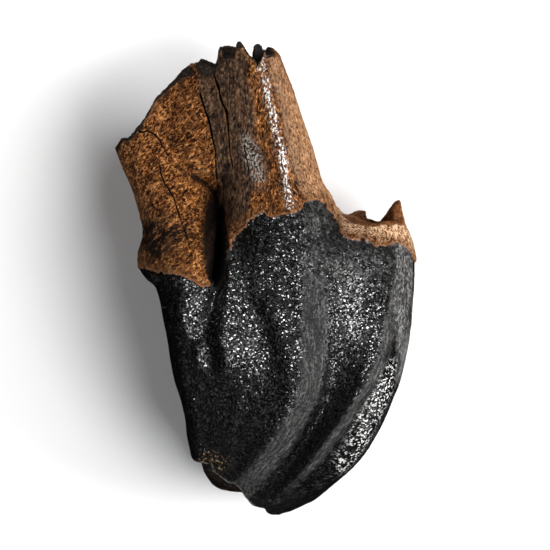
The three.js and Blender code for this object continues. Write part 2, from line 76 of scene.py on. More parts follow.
# relief of the cheek face, each line along the crown as [Y, X, height above the plain section]
CHEEK = [
    [[16, -21.5, 0.4], [-1.2, -20.9, 0.6], [-6.4, -19.8, 0.8], [-10.5, -18.6, 0.8], [-14, -17.8, 0.3], [-20, -16.8, 0.0], [-25, -15.2, -0.4], [-40, -12.8, 0], [-45, -9.0, 0]],
    [[16, -19.4, 1.2], [-1.2, -19.0, 1.9], [-6.4, -17.8, 2.0], [-10.0, -16.8, 1.2], [-12.5, -16.2, -0.1], [-14, -15.6, -0.7], [-20, -14.6, -1.4], [-25, -13.4, -1.8], [-31, -12.6, -1.8], [-40, -11.2, -0.6], [-45, -8.4, 0]],
    [[16, -11.6, -1.6], [1, -11.0, -1.4], [-2, -11.2, -1.3], [-6.4, -12.8, -1.2], [-10.2, -14.2, -0.9], [-14, -14.0, -1.0], [-20, -12.6, -1.6], [-25, -11.8, -2.2], [-31, -11.2, -2.1], [-40, -10.0, -0.7], [-45, -8.0, 0]],
    [[16, -9.8, -3.6], [4, -9.7, -3.4], [0.8, -9.6, -3.2], [-5, -10.4, -2.8], [-8.4, -11.2, -2.4], [-11.5, -11.8, -1.7], [-14, -11.4, -1.3], [-20, -10.6, -1.6], [-25, -10.0, -2.0], [-31, -9.4, -1.8], [-40, -9.2, -0.6], [-45, -7.8, 0]],
    [[16, -7.6, 0.0], [1, -7.4, 0.1], [-3.3, -7.9, 0.3], [-8.4, -8.7, 0.4], [-13.5, -8.8, 0.4], [-17.6, -8.3, 0.2], [-20, -8.2, -0.7], [-23, -8.0, -1.4], [-26, -7.8, -1.6], [-31, -7.4, -1.3], [-38, -7.8, -0.6], [-45, -7.4, 0]],
    [[16, -6.4, 0.1], [1.2, -5.6, 0.0], [-2, -4.4, -0.2], [-4.3, -3.2, -0.4], [-8.4, -1.4, -0.6], [-13.5, -0.2, -0.7], [-18, 0.4, -0.5], [-20.7, 0.8, -0.1], [-25.8, -0.6, 0.2], [-30, -2.4, 0.2], [-35, -4.6, 0.1], [-40, -6.2, 0.0], [-45, -5.9, 0]],
    [[16, -2.4, 0.5], [4, -1.6, 0.5], [1.2, -0.6, 0.6], [-2, 0.6, 0.6], [-4.3, 1.4, 0.6], [-8.4, 2.8, 0.7], [-13.5, 4.6, 0.9], [-18, 5.6, 1.3], [-20.7, 6.4, 1.5], [-25.8, 5.0, 1.9], [-29.9, 2.8, 2.0], [-35, -1.0, 1.9], [-40, -4.4, 1.2], [-45, -4.4, 0.4]],
    [[16, 7.2, 0.4], [4, 7.2, 0.4], [-4, 7.0, 0.5], [-13, 7.4, 0.8], [-18, 8.4, 1.3], [-21, 8.8, 1.5], [-25.8, 7.4, 1.8], [-30, 5.0, 1.9], [-35, 1.4, 1.7], [-40, -2.4, 1.1], [-45, -3.2, 0.4]],
    [[16, 11.8, 0.2], [4, 12.0, 0.3], [-4, 11.8, 0.4], [-13, 11.6, 0.7], [-21, 10.9, 1.2], [-25, 9.7, 1.4], [-30, 7.1, 1.6], [-35, 3.7, 1.5], [-40, -0.3, 1.0], [-45, -2.1, 0.4]],
    [[16, 16.6, 0.0], [4, 16.2, 0.0], [-4, 15.4, -0.2], [-13, 14.6, -1.1], [-21, 13.6, -1.8], [-25, 12.4, -1.9], [-30, 9.8, -1.9], [-35, 6.8, -1.8], [-40, 3.4, -1.4], [-45, 0.2, -0.8]],
    [[16, 25.6, 0.4], [4, 27.4, 0.6], [-4, 26.0, 1.2], [-10, 25.0, 1.6], [-17, 23.4, 1.9], [-21, 21.4, 2.1], [-26, 17.4, 2.2], [-31, 14.2, 2.2], [-35, 11.2, 2.1], [-40, 7.2, 1.7], [-45, 2.4, 1.0]],
    [[16, 27.0, 0], [4, 28.6, 0], [-4, 28.2, 0], [-17, 26.0, -0.3], [-21, 23.4, -0.5], [-26, 20.0, -0.6], [-31, 17.2, -0.6], [-35, 14.6, -0.6], [-40, 10.6, -0.4], [-45, 5.4, -0.2]],
    [[16, 29.2, 0], [4, 29.6, 0], [-17, 27.6, 0], [-21, 26.6, 0.5], [-26, 24.4, 1.2], [-31, 22.0, 1.5], [-35, 19.8, 1.5], [-40, 15.4, 1.2], [-45, 9.0, 0.5]],
]
TONGUE = [
    [[16, -12, 1.5], [-8, -10.5, 3.6], [-30, -8.5, 2.0], [-45, -6, 0]],
    [[16, 2.0, -3.0], [-8, 2.6, -4.5], [-30, 2.4, -3.5], [-45, 0.4, -1]],
    [[16, 16, 0.8], [-8, 16.5, 1.9], [-30, 11, 1.0], [-45, 4, 0]],
]
RELIEF_END, RELIEF_FADE = -45.0, 3.6

LEFT_ROOT = [
    [-5.0, -20.4, -10.6, 23, 38.6, 8.0],
    [-1.0, -22.0, -10.2, 23, 40.4, 8.0],
    [2.0, -25.2, -10.0, 23, 40.9, 8.2],
    [5.0, -25.4, -9.8, 23, 40.6, 8.6],
    [9.0, -24.8, -9.6, 23, 39.4, 9.4],
    [14.4, -25.9, -9.7, 23, 37.2, 10.6],
    [20.3, -28.0, -9.9, 23, 34.8, 11.8],
    [24.4, -29.7, -9.9, 22.6, 33.3, 12.6],
    [28.5, -30.9, -10.4, 22.2, 32.0, 13.2],
    [32.6, -30.6, -10.6, 22.0, 31.0, 13.8],
    [36.7, -29.6, -10.4, 21.8, 30.2, 14.4],
    [41.0, -26.0, -10.2, 21.6, 29.2, 15.0],
    [45.6, -21.0, -10.2, 21.4, 28.4, 15.6],
]
TALL_ROOT = [
    [-5.0, -7.0, 20.0, 23, 44.4, 5.0],
    [0.0, -8.0, 18.8, 23, 44.9, 5.0],
    [4.0, -8.8, 17.8, 23, 44.6, 5.4],
    [8.0, -9.4, 16.6, 23.4, 43.6, 6.2],
    [13.1, -9.6, 14.9, 24.0, 42.0, 7.8],
    [17.0, -10.0, 13.2, 24.6, 40.6, 9.4],
    [20.3, -10.2, 11.6, 25.0, 39.4, 11.0],
    [28.5, -11.2, 9.2, 25.6, 37.2, 14.2],
    [36.7, -12.4, 6.6, 26.2, 35.4, 17.0],
    [42.0, -10.9, 5.0, 26.6, 34.4, 18.6],
    [45.2, -9.8, 3.6, 26.8, 33.6, 19.6],
    [47.0, -9.5, 2.8, 26.9, 33.2, 20.2],
    [48.6, -9.4, 2.0, 27.0, 33.0, 20.6],
]
RIGHT_ROOT = [
    [-2.0, 14.6, 29.8, 23, 39.0, 8.0],
    [3.5, 14.8, 30.3, 23, 38.4, 9.0],
    [8.0, 15.0, 29.9, 23, 36.8, 10.2],
    [11.1, 15.4, 28.8, 23, 35.2, 11.2],
    [14.0, 16.2, 28.1, 23, 34.2, 12.0],
    [17.0, 16.8, 27.8, 23, 33.6, 12.6],
]
# the cementum that joins the left and the tall root above their cleft
WEB = [
    [14.6, -14.0, -6.0, 22.0, 23.4, 20.0],
    [17.0, -15.0, -5.0, 22.8, 28.0, 17.0],
    [19.0, -16.4, -4.0, 23.2, 32.0, 15.0],
    [22.0, -18.6, -2.0, 23.5, 35.4, 14.4],
    [28.5, -20.0, -2.0, 23.6, 34.4, 16.0],
    [36.7, -19.6, -4.0, 24.0, 32.8, 18.0],
    [42.0, -16.0, -5.6, 24.2, 31.4, 19.0],
    [44.6, -14.6, -7.0, 24.4, 30.4, 19.6],
]
TONGUE_ROOT = [
    [-4.0, -18.0, 8.0, 8, 20.0, -0.3],
    [4.0, -18.4, 6.6, 7.6, 19.0, -0.4],
    [12.0, -18.0, 4.6, 7.0, 17.0, -0.5],
    [20.0, -17.2, 2.2, 6.4, 14.4, -0.6],
    [26.0, -16.4, 0.2, 6.0, 12.2, -0.4],
    [31.0, -15.2, -2.2, 5.8, 10.4, 0.6],
]
LEFT_CANAL = [
    [16, -21.0, -14.6, 22.4, 24.2, 20.6],
    [24, -25.4, -15.6, 22.4, 25.4, 19.4],
    [30, -27.2, -15.6, 22.0, 25.8, 18.2],
    [50, -24.6, -15.2, 21.6, 25.2, 18.0],
]
TALL_CANAL = [
    [22, -3.6, 3.0, 25.4, 28.0, 22.8],
    [32, -5.6, 1.6, 26.0, 29.8, 22.6],
    [40, -6.9, 1.1, 26.6, 30.9, 22.7],
    [52, -7.2, 0.0, 26.9, 31.1, 22.8],
]
RIGHT_CANAL = [
    [4.5, 19.4, 26.2, 23, 27.0, 19.0],
    [7.5, 18.2, 26.8, 23, 30.6, 16.2],
    [11.0, 17.9, 26.6, 23, 31.6, 15.4],
    [24.0, 17.9, 26.4, 23, 31.6, 15.4],
]
TONGUE_CANAL = [
    [20, -11.6, -6.0, 5.9, 7.6, 4.2],
    [26, -12.6, -4.6, 5.9, 8.6, 3.2],
    [36, -12.6, -4.6, 5.9, 8.6, 3.2],
]
LEFT_BREAK_FRONT = [[-34, 25.0], [-30.3, 27.0], [-29.4, 28.7], [-28.1, 28.6], [-26.7, 29.9], [-24.6, 32.6], [-23.0, 35.6], [-21.9, 37.3], [-20.5, 38.4], [-18.5, 40.4], [-16.8, 42.2], [-15.4, 42.8], [-13.7, 43.1], [-13.0, 43.8], [-11.9, 43.2], [-10.5, 42.6], [-10.0, 41.8]]
LEFT_BREAK_BACK = [[-34, 24.6], [-30.3, 26.6], [-28.1, 27.6], [-25.0, 31.0], [-22.0, 36.4], [-18.5, 39.4], [-15.4, 42.0], [-13.2, 43.6], [-11.8, 42.2], [-10.4, 41.9], [-10.0, 41.6]]
LEFT_SPLIT = 22.0
TALL_BREAK_FRONT = [[-14, 41.6], [-10.3, 41.8], [-9.6, 44.5], [-9.4, 47.4], [-8.8, 47.4], [-8.6, 45.5], [-7.5, 45.7], [-6.2, 45.3], [-5.9, 47.6], [-5.5, 48.4], [-4.8, 48.2], [-4.1, 46.9], [-3.1, 45.5], [-2.2, 44.9], [-1.4, 43.7], [-0.6, 45.3], [-0.2, 46.9], [0.4, 45.5], [2.7, 46.1], [3.6, 44.0], [5.2, 40.0], [7, 36]]
TALL_BREAK_BACK = [[-14, 41.6], [-10.3, 41.8], [-9.4, 47.0], [-8.2, 47.5], [-6.0, 47.7], [-4.8, 46.8], [-3.4, 45.2], [-2.6, 45.2], [-2.3, 47.6], [-1.6, 48.3], [-0.8, 47.9], [-0.2, 46.6], [0.6, 47.5], [1.9, 47.2], [3.1, 45.6], [5.2, 40.0], [7, 36]]
TALL_SPLIT = 26.8
RIGHT_BREAK_FRONT = [[13, 13.2], [15.6, 12.6], [16.6, 12.2], [18.0, 11.9], [20.6, 11.3], [22.6, 11.3], [23.8, 11.7], [26.6, 11.7], [28.2, 11.7], [31, 10.6]]
RIGHT_BREAK_BACK = [[13, 12.6], [16.8, 12.5], [18.5, 13.8], [19.5, 14.2], [20.7, 14.0], [21.0, 11.0], [23.1, 10.9], [25.2, 13.8], [26.7, 15.8], [27.5, 16.2], [28.0, 15.2], [28.5, 12.2], [31, 10.2]]
RIGHT_SPLIT = 28.0
TONGUE_BREAK = [[-20, 27.0], [-16.0, 28.6], [-13.0, 30.2], [-10.5, 29.2], [-8.0, 30.6], [-5.0, 29.0], [-2.0, 27.6], [2, 26.0]]

WEAR_POINT = (-7.4, -42.5)
WEAR_NORMAL = (-0.611, -0.791)

# edge of the enamel, where the roots' brown cementum begins, on the cheek and the tongue side
ENAMEL_TOP = [(-32, 2.6), (-25.0, 2.3), (-23.6, 1.8), (-21.9, 1.4), (-19.5, 1.0), (-16.4, 0.6), (-15.4, 0.0), (-14.3, -0.8), (-13.3, -1.4), (-11.9, -1.6), (-10.7, -1.2), (-9.6, -0.2), (-9.2, 1.8), (-9.0, 3.3), (-7.6, 3.9), (-7.2, 5.3), (-6.6, 7.0), (-5.7, 8.6), (-4.9, 9.6), (-4.1, 10.0), (-3.3, 11.7), (-2.7, 12.3), (-1.4, 12.7), (-0.2, 13.3), (0.6, 12.9), (1.4, 12.5), (3.1, 12.9), (5.1, 13.1), (6.8, 13.7), (7.8, 15.0), (8.8, 15.8), (10.2, 15.8), (11.7, 15.6), (12.7, 14.6), (13.9, 12.5), (15.0, 10.5), (15.6, 8.8), (17.0, 8.0), (18.4, 7.8), (19.9, 8.0), (21.1, 7.4), (22.3, 6.8), (23.6, 6.4), (25.2, 6.8), (26.6, 7.2), (28.1, 6.6), (29.3, 5.5), (30.1, 4.3), (30.6, 3.5), (36, 2.8)]
ENAMEL_UNDER = [(-32, 2.6), (-25.0, 2.3), (-21.0, 4.4), (-16.0, 6.2), (-11.0, 5.6), (-6.0, 3.0), (0.0, 2.4), (5.0, 5.0), (10.0, 8.2), (15.0, 8.6), (20.0, 7.2), (25.0, 6.0), (28.6, 4.6), (30.6, 3.5), (36, 2.8)]

CLEFT = [(-9.8, 20.5), (-9.6, 17.2), (-9.4, 13.1), (-9.4, 9.0), (-9.4, 5.9), (-9.6, 3.5), (-10.0, 0.8), (-10.2, -2.3)]
CREST = [(12.0, 6.0), (17.0, 5.0), (24.4, 4.1), (30.5, 2.6), (36.7, 1.2), (43.0, -0.4), (47.0, -1.2)]
CRACKS = [
    # points, half width, depth
    ([(-10.7, 42.8), (-10.2, 40.8), (-9.4, 38.7), (-9.2, 37.3), (-8.6, 35.5), (-7.8, 34.0), (-7.6, 32.6), (-7.4, 29.5), (-7.2, 26.4), (-6.8, 23.8), (-6.4, 22.3)], 0.30, 1.1),
    ([(-13.4, 38.2), (-12.3, 34.6), (-11.7, 33.0), (-11.3, 31.6), (-10.7, 28.5), (-10.0, 26.0), (-10.0, 23.4), (-9.8, 20.3), (-9.5, 17.8)], 0.24, 0.7),
    ([(-27.0, 30.5), (-24.8, 29.9), (-24.0, 30.3), (-22.5, 29.5), (-21.3, 28.1), (-20.9, 27.1), (-19.9, 25.4), (-19.3, 24.8)], 0.22, 0.5),
    ([(-21.5, 23.8), (-21.1, 21.3), (-20.3, 19.3), (-19.5, 18.2), (-18.4, 16.2), (-17.6, 13.5), (-16.8, 11.1), (-16.0, 9.0), (-15.4, 7.0), (-15.2, 5.5)], 0.17, 0.35),
    ([(-4.3, 27.5), (-3.5, 23.4), (-3.1, 20.3)], 0.14, 0.3),
]
BAND_A = ([(7.2, 13.1), (6.8, 3.9), (7.2, -4.3), (7.6, -12.5), (7.0, -20.7), (5.3, -25.8), (3.1, -29.9), (-0.6, -35.1), (-5.1, -40.0), (-7.6, -42.0)],
          [(15.0, 13.1), (14.1, 3.9), (13.1, -4.3), (12.7, -12.5), (11.7, -20.7), (10.7, -24.8), (7.8, -30.5), (5.1, -34.9), (2.3, -38.9), (-0.6, -42.8), (-2.7, -45.3)])
BAND_B = ([(27.3, 3.5), (25.2, -4.3), (24.2, -8.4), (23.2, -14.6), (21.3, -19.1), (18.4, -24.0), (16.4, -27.1), (12.3, -32.8), (8.4, -37.9), (3.3, -43.0), (-0.6, -46.9)],
          [(30.3, 3.5), (28.7, -4.3), (27.1, -10.5), (25.8, -13.5), (24.6, -17.0), (22.1, -21.7), (19.9, -25.0), (16.4, -30.3), (13.3, -35.1), (8.4, -41.0), (4.3, -45.3), (1.4, -47.6)])
LOW_RIB = [(-4.9, -23.2), (-5.9, -26.9), (-6.6, -31.0), (-7.0, -34.6), (-7.4, -38.3)]
GREY_RIGHT = [(-5.1, 49.0), (-3.5, 44.9), (-3.1, 40.8), (-2.5, 36.7), (-1.8, 30.5), (-1.6, 24.4), (-2.3, 18.2), (-3.1, 12.0)]
TAN_LEFT = [(-0.2, 49.0), (0.2, 46.9), (1.2, 41.8), (2.7, 36.7), (3.9, 30.5), (5.1, 24.4), (7.0, 18.2), (9.2, 13.8)]


# ---------------------------------------------------------------- small numeric helpers
def smooth(a, b, v):
    t = np.clip((v - a) / (b - a), 0.0, 1.0)
    return t * t * (3 - 2 * t)


def pchip(xs, ys, q):
    """Monotone cubic through the points, held flat past the ends."""
    xs = np.asarray(xs, float)
    ys = np.asarray(ys, float)
    if xs[0] > xs[-1]:
        xs, ys = xs[::-1], ys[::-1]
    n = len(xs)
    h = np.diff(xs)
    d = np.diff(ys) / h
    m = np.zeros(n)
    if n == 2:
        m[:] = d[0]
    else:
        for i in range(1, n - 1):
            if d[i - 1] * d[i] > 0:
                w1, w2 = 2 * h[i] + h[i - 1], h[i] + 2 * h[i - 1]
                m[i] = (w1 + w2) / (w1 / d[i - 1] + w2 / d[i])
        m[0], m[-1] = d[0], d[-1]
    q = np.clip(np.asarray(q, float), xs[0], xs[-1])
    i = np.clip(np.searchsorted(xs, q, side="right") - 1, 0, n - 2)
    t = (q - xs[i]) / h[i]
    t2, t3 = t * t, t * t * t
    return ((2 * t3 - 3 * t2 + 1) * ys[i] + (t3 - 2 * t2 + t) * h[i] * m[i]
            + (-2 * t3 + 3 * t2) * ys[i + 1] + (t3 - t2) * h[i] * m[i + 1])


def col(table, k, y):
    return pchip([r[0] for r in table], [r[k] for r in table], y)


def smin(a, b, k):
    h = np.clip(0.5 + 0.5 * (b - a) / k, 0.0, 1.0)
    return b * (1 - h) + a * h - k * h * (1 - h)


def smax(a, b, k):
    return -smin(-a, -b, k)


def seg_distance(px, py, line):
    """Least distance from the points to a polyline, and how far along it (0..1) the nearest point is."""
    best = np.full(np.shape(px), 1e9)
    along = np.zeros(np.shape(px))
    total = 0.0
    lens = [math.dist(a, b) for a, b in zip(line[:-1], line[1:])]
    full = sum(lens)
    for (a, b), ln in zip(zip(line[:-1], line[1:]), lens):
        dx, dy = b[0] - a[0], b[1] - a[1]
        t = np.clip(((px - a[0]) * dx + (py - a[1]) * dy) / (dx * dx + dy * dy), 0, 1)
        d = np.hypot(px - a[0] - t * dx, py - a[1] - t * dy)
        near = d < best
        best = np.where(near, d, best)
        along = np.where(near, (total + t * ln) / full, along)
        total += ln
    return best, along


class Perlin:
    """Gradient noise, about -1..1, the same each run."""

    def __init__(self, seed):
        r = np.random.RandomState(seed)
        self.p = np.tile(r.permutation(256), 3)
        g = r.normal(size=(256, 3))
        self.g = g / np.linalg.norm(g, axis=1, keepdims=True)

    def __call__(self, x, y, z):
        x, y, z = np.broadcast_arrays(x, y, z)
        xi, yi, zi = np.floor(x).astype(int), np.floor(y).astype(int), np.floor(z).astype(int)
        fx, fy, fz = x - xi, y - yi, z - zi
        u, v, w = (f * f * f * (f * (f * 6 - 15) + 10) for f in (fx, fy, fz))
        out = 0.0
        for dx in (0, 1):
            for dy in (0, 1):
                for dz in (0, 1):
                    h = self.p[self.p[self.p[(xi + dx) & 255] + ((yi + dy) & 255)] + ((zi + dz) & 255)]
                    g = self.g[h]
                    dot = g[..., 0] * (fx - dx) + g[..., 1] * (fy - dy) + g[..., 2] * (fz - dz)
                    out = out + dot * (u if dx else 1 - u) * (v if dy else 1 - v) * (w if dz else 1 - w)
        return out * 1.6


N1, N2, N3 = Perlin(11), Perlin(23), Perlin(37)


# ---------------------------------------------------------------- maps over X and Y
MAP_STEP = 0.2
MX = np.arange(-36.0, 36.01, MAP_STEP)
MY = np.arange(-52.0, 52.01, MAP_STEP)


def sample(m, x, y):
    """Bilinear look-up in a map over X and Y."""
    fx = np.clip((x - MX[0]) / MAP_STEP, 0, len(MX) - 1.001)
    fy = np.clip((y - MY[0]) / MAP_STEP, 0, len(MY) - 1.001)
    i, j = fx.astype(int), fy.astype(int)
    a, b = fx - i, fy - j
    return (m[i, j] * (1 - a) * (1 - b) + m[i + 1, j] * a * (1 - b)
            + m[i, j + 1] * (1 - a) * b + m[i + 1, j + 1] * a * b)


def relief_maps(lines, with_flow=False):
    out = np.zeros((len(MX), len(MY)))
    flow = np.zeros((len(MX), len(MY)))
    ref = [col(l, 1, -10.0) for l in lines]
    for j, y in enumerate(MY):
        yy = max(y, RELIEF_END)
        left, right = float(col(CROWN, 1, y)), float(col(CROWN, 2, y))
        l0, r0 = float(col(CROWN, 1, yy)), float(col(CROWN, 2, yy))
        x = l0 + (r0 - l0) * (MX - left) / max(right - left, 0.2)
        fade = 1 - float(smooth(0.0, RELIEF_FADE, RELIEF_END - y)) if y < RELIEF_END else 1.0
        xs = [l0] + [float(col(l, 1, yy)) for l in lines] + [r0]
        hs = [0.0] + [float(col(l, 2, yy)) for l in lines] + [0.0]
        for i in range(1, len(xs)):
            xs[i] = max(xs[i], xs[i - 1] + 0.3)
        out[:, j] = fade * pchip(xs, hs, x) * ((x > xs[0]) & (x < xs[-1]))
        if with_flow:
            rx = [-21.0] + ref + [30.0]
            flow[:, j] = np.interp(x, xs, rx)
    return out, flow


RELIEF_TOP, FLOW = relief_maps(CHEEK, True)
RELIEF_UNDER, _ = relief_maps(TONGUE)

gx, gy = np.meshgrid(MX, MY, indexing="ij")
# the ringed dimple on the cheek face, and a few shallow swellings
r = np.hypot((gx + 10.7) / 1.0, (gy + 15.6) / 1.25)
RELIEF_TOP += -0.9 * np.exp(-(r / 1.8) ** 2) + 0.45 * np.exp(-((r - 2.9) / 0.9) ** 2)
for bx, by, sx, sy, hgt in [(19.8, -4.0, 2.6, 9.0, -0.6)]:
    RELIEF_TOP += hgt * np.exp(-((gx - bx) / sx) ** 2 - ((gy - by) / sy) ** 2)
d, _ = seg_distance(gx, gy, LOW_RIB)
RELIEF_TOP += 0.5 * np.exp(-(d / 0.9) ** 2)


def edge_map(line):
    """Signed distance over X and Y to the enamel's edge: above it is positive."""
    d, _ = seg_distance(gx, gy, line)
    yb = np.interp(gx, [p[0] for p in line], [p[1] for p in line])
    return np.where(gy > yb, d, -d)


EDGE_TOP, EDGE_UNDER = edge_map(ENAMEL_TOP), edge_map(ENAMEL_UNDER)


def band_map(pair, soft):
    left, right = pair
    xl = np.interp(gy, [p[1] for p in left[::-1]], [p[0] for p in left[::-1]])
    xr = np.interp(gy, [p[1] for p in right[::-1]], [p[0] for p in right[::-1]])
    return smooth(-soft, soft, gx - xl) * smooth(-soft, soft, xr - gx)


# ---------------------------------------------------------------- the tooth as a field
def section_field(table, x, y, z, p, top=None, under=None, p_top=None):
    """Roughly the distance to a body whose sections across Y are rounded rectangles."""
    xl, xr, zc = col(table, 1, y), col(table, 2, y), col(table, 3, y)
    ht, hb = col(table, 4, y) - zc, zc - col(table, 5, y)
    if top is not None:
        ht = ht + top
    if under is not None:
        hb = hb + under
    cx, w = (xl + xr) / 2, (xr - xl) / 2
    up = z > zc
    a = np.abs(x - cx) / w
    b = np.abs(z - zc) / np.maximum(np.where(up, ht, hb), 0.3)
    if p_top is not None:
        p = np.where(up, np.where(x < cx, p_top[0], p_top[1]), p)
    r = np.maximum((a ** p + b ** p) ** (1.0 / p), 1e-3)
    return np.hypot(x - cx, z - zc) * (1 - 1 / r)


# depth of the worn face behind its plane at the cheek edge, on the ridge of the lower lobe and on
# the lobe's bulge, as [place across the face, depth]
WEAR_EDGE = [[-12, 0], [-8.6, -0.1], [-7.0, 0.8], [-5.6, 1.5], [-4.6, 0.6], [-2.3, 0.65], [-0.7, 0.6], [0.5, 1.3], [2.3, 1.05], [3.6, 0.5], [5.5, -0.05], [7.7, -0.2], [12, 0]]
WEAR_RIDGE = [[-12, 0.6], [-7.6, 0.3], [-5.7, -1.0], [-3.2, -0.95], [-1.1, -0.7], [1.3, -0.45], [3.0, 0.5], [6, 0.9], [12, 0.6]]
WEAR_LOBE = [[-12, 0.3], [-9, 0.2], [-7.2, 0.0], [-6.0, -0.95], [-4.8, -1.55], [-2.7, -2.2], [-0.8, -1.9], [1.0, -1.0], [2.8, 0.15], [4.2, 0.6], [6.5, 0.5], [12, 0.2]]


def wear_depth(t, z):
    """How far the worn facet lies behind its plane, and the rim and basin masks."""
    def line(table):
        return np.interp(t, [p[0] for p in table], [p[1] for p in table])
    wob = 0.10 * N1(t * 0.25, z * 0.25, 3.1)
    up = smooth(19.6, 22.6, z + 2 * wob)
    low = 1 - smooth(14.6, 16.8, z + 2 * wob)
    ends = 1 - smooth(6.0, 9.6, np.abs(t))
    bulge = smooth(15.0, 10.2, z)
    foot = smooth(3.0, 8.0, z)
    d_low = (line(WEAR_RIDGE) * (1 - bulge) + line(WEAR_LOBE) * bulge) * foot + 0.8 * (1 - foot)
    d_up = line(WEAR_EDGE)
    basin = (1 - up) * (1 - low) * ends
    d = up * d_up + low * d_low + (1 - up - low) * (0.4 + 3.0 * ends)
    # the fold of enamel that crosses the basin
    fold_t = 1.6 + 1.2 * np.sin(z * 0.5)
    fold = np.exp(-((t - fold_t) / 0.7) ** 2) * smooth(14.0, 16.0, z) * (1 - smooth(20.5, 23.0, z))
    d = d - 1.2 * fold * basin
    pit = np.exp(-(((t + 0.6) / 2.6) ** 2 + ((z - 7.2) / 1.6) ** 2)) + np.exp(-(((t - 5.2) / 1.5) ** 2 + ((z - 12.5) / 2.6) ** 2))
    d = d + 1.5 * pit
    rim = np.maximum(np.exp(-((z - 15.2 + 2 * wob) / 0.8) ** 2) * (1 - smooth(3.0, 5.0, np.abs(t + 1.8))), up * 0.0)
    return d, rim, basin, fold


def break_field(front, back, split, x, y, z, soft=0.8, jag=0.35):
    yf = np.interp(x, [p[0] for p in front], [p[1] for p in front])
    yb = np.interp(x, [p[0] for p in back], [p[1] for p in back])
    k = smooth(split - soft, split + soft, z)
    return (y - (yb * (1 - k) + yf * k)) * 0.8 + jag * N2(x * 0.9, y * 0.5, z * 0.9)


def tooth_field(x, y, z, parts=False):
    x, y, z = (np.asarray(v, float) for v in (x, y, z))
    top, under = sample(RELIEF_TOP, x + 0 * y, y + 0 * x), sample(RELIEF_UNDER, x + 0 * y, y + 0 * x)
    boxy = (col(CHEEK_SQUARENESS_LEFT, 1, y), col(CHEEK_SQUARENESS_RIGHT, 1, y))
    crown = np.maximum(section_field(CROWN, x, y, z, 2.5, top, under, boxy), np.maximum(-48.6 - y, y - 13.0))
    # slow waviness of the roots, as grown
    wob = 0.35 * N1(x * 0.11, y * 0.07, z * 0.11) + 0.15 * N2(x * 0.3, y * 0.16, z * 0.3)
    left = np.maximum(section_field(LEFT_ROOT, x, y, z, 2.5) + wob, -5.0 - y)
    tall = np.maximum(section_field(TALL_ROOT, x, y, z, 2.5) + wob, -5.0 - y)
    right = np.maximum(section_field(RIGHT_ROOT, x, y, z, 2.5) + 0.5 * wob, np.maximum(-2.0 - y, y - 17.0))
    tongue = np.maximum(section_field(TONGUE_ROOT, x, y, z, 2.4) + wob, np.maximum(-4.0 - y, y - 31.0))
    # the crest down the tall root, where its brown front meets its tan flank
    ridge = np.interp(y, [p[0] for p in CREST], [p[1] for p in CREST])
    tall = tall - 0.55 * np.exp(-((x - ridge) / 1.0) ** 2) * smooth(24, 30, z) * smooth(10.0, 16.0, y)
    web = np.maximum(section_field(WEB, x, y, z, 2.5) + wob, np.maximum(14.6 - y, y - 44.6))
    lb = break_field(LEFT_BREAK_FRONT, LEFT_BREAK_BACK, LEFT_SPLIT, x, y, z)
    tb = break_field(TALL_BREAK_FRONT, TALL_BREAK_BACK, TALL_SPLIT, x, y, z, jag=0.22)
    rb = break_field(RIGHT_BREAK_FRONT, RIGHT_BREAK_BACK, RIGHT_SPLIT, x, y, z, jag=0.18)
    gb = break_field(TONGUE_BREAK, TONGUE_BREAK, 5.0, x, y, z)
    f = smin(crown, np.maximum(tall, tb), 2.2)
    f = smin(f, np.maximum(left, lb), 1.4 + 2.0 * smooth(19.0, 24.0, y))
    f = smin(f, np.maximum(web, lb), 0.3 + 3.0 * smooth(19.5, 25.0, y))
    f = smin(f, np.maximum(right, rb), 1.0)
    f = smin(f, np.maximum(tongue, gb), 2.4)
    # pulp canals
    rough = 0.25 * N2(x * 0.4, y * 0.3, z * 0.4)
    c_left = np.maximum(section_field(LEFT_CANAL, x, y, z, 2.0) + rough, 16.0 - y)
    c_tall = np.maximum(section_field(TALL_CANAL, x, y, z, 2.0) + rough, 22.0 - y)
    c_tongue = np.maximum(section_field(TONGUE_CANAL, x, y, z, 2.0) + rough, 20.0 - y)
    c_right = np.maximum(section_field(RIGHT_CANAL, x, y, z, 2.2) + rough, 4.5 - y)
    cav = np.minimum(np.minimum(c_left, c_tall), np.minimum(c_tongue, c_right))
    f = smax(f, -cav, 0.5)
    # deep cleft between the two front roots
    cl_x = np.interp(y, [p[1] for p in CLEFT[::-1]], [p[0] for p in CLEFT[::-1]])
    reach = smooth(21.5, 13.0, y) * smooth(-3.2, 1.6, y)
    floor = 44.0 - 14.0 * reach
    half = 0.25 + 0.13 * (z - floor)
    slot = np.maximum(np.abs(x - cl_x) - half, floor - z)
    slot = np.maximum(slot, np.maximum(y - 21.0, -3.2 - y))
    f = smax(f, -slot, 0.9)
    # worn end
    t = -WEAR_NORMAL[1] * (x - WEAR_POINT[0]) + WEAR_NORMAL[0] * (y - WEAR_POINT[1])
    n = WEAR_NORMAL[0] * (x - WEAR_POINT[0]) + WEAR_NORMAL[1] * (y - WEAR_POINT[1])
    depth, rim, basin, fold = wear_depth(t, z)
    wear = n + depth
    unworn = f
    f = smax(f, wear, 0.35)
    f = smax(f, -z, 0.25)
    if not parts:
        return f
    return {
        "f": f, "lb": lb, "tb": tb, "rb": rb, "gb": gb, "left": left, "tall": tall, "right": right,
        "tongue": tongue, "crown": crown, "cav": cav, "c_right": c_right, "slot": slot, "wear": wear,
        "unworn": unworn, "rim": rim, "basin": basin, "fold": fold,
    }


# ---------------------------------------------------------------- surface from the field
def stretch(segments):
    """Grid lines with a different step in each stretch: [(start, step), ..., (end, None)]."""
    out = []
    for (a, s), (b, _) in zip(segments[:-1], segments[1:]):
        n = max(1, int(round((b - a) / s)))
        out += list(np.linspace(a, b, n, endpoint=False))
    out.append(segments[-1][0])
    return np.array(out)


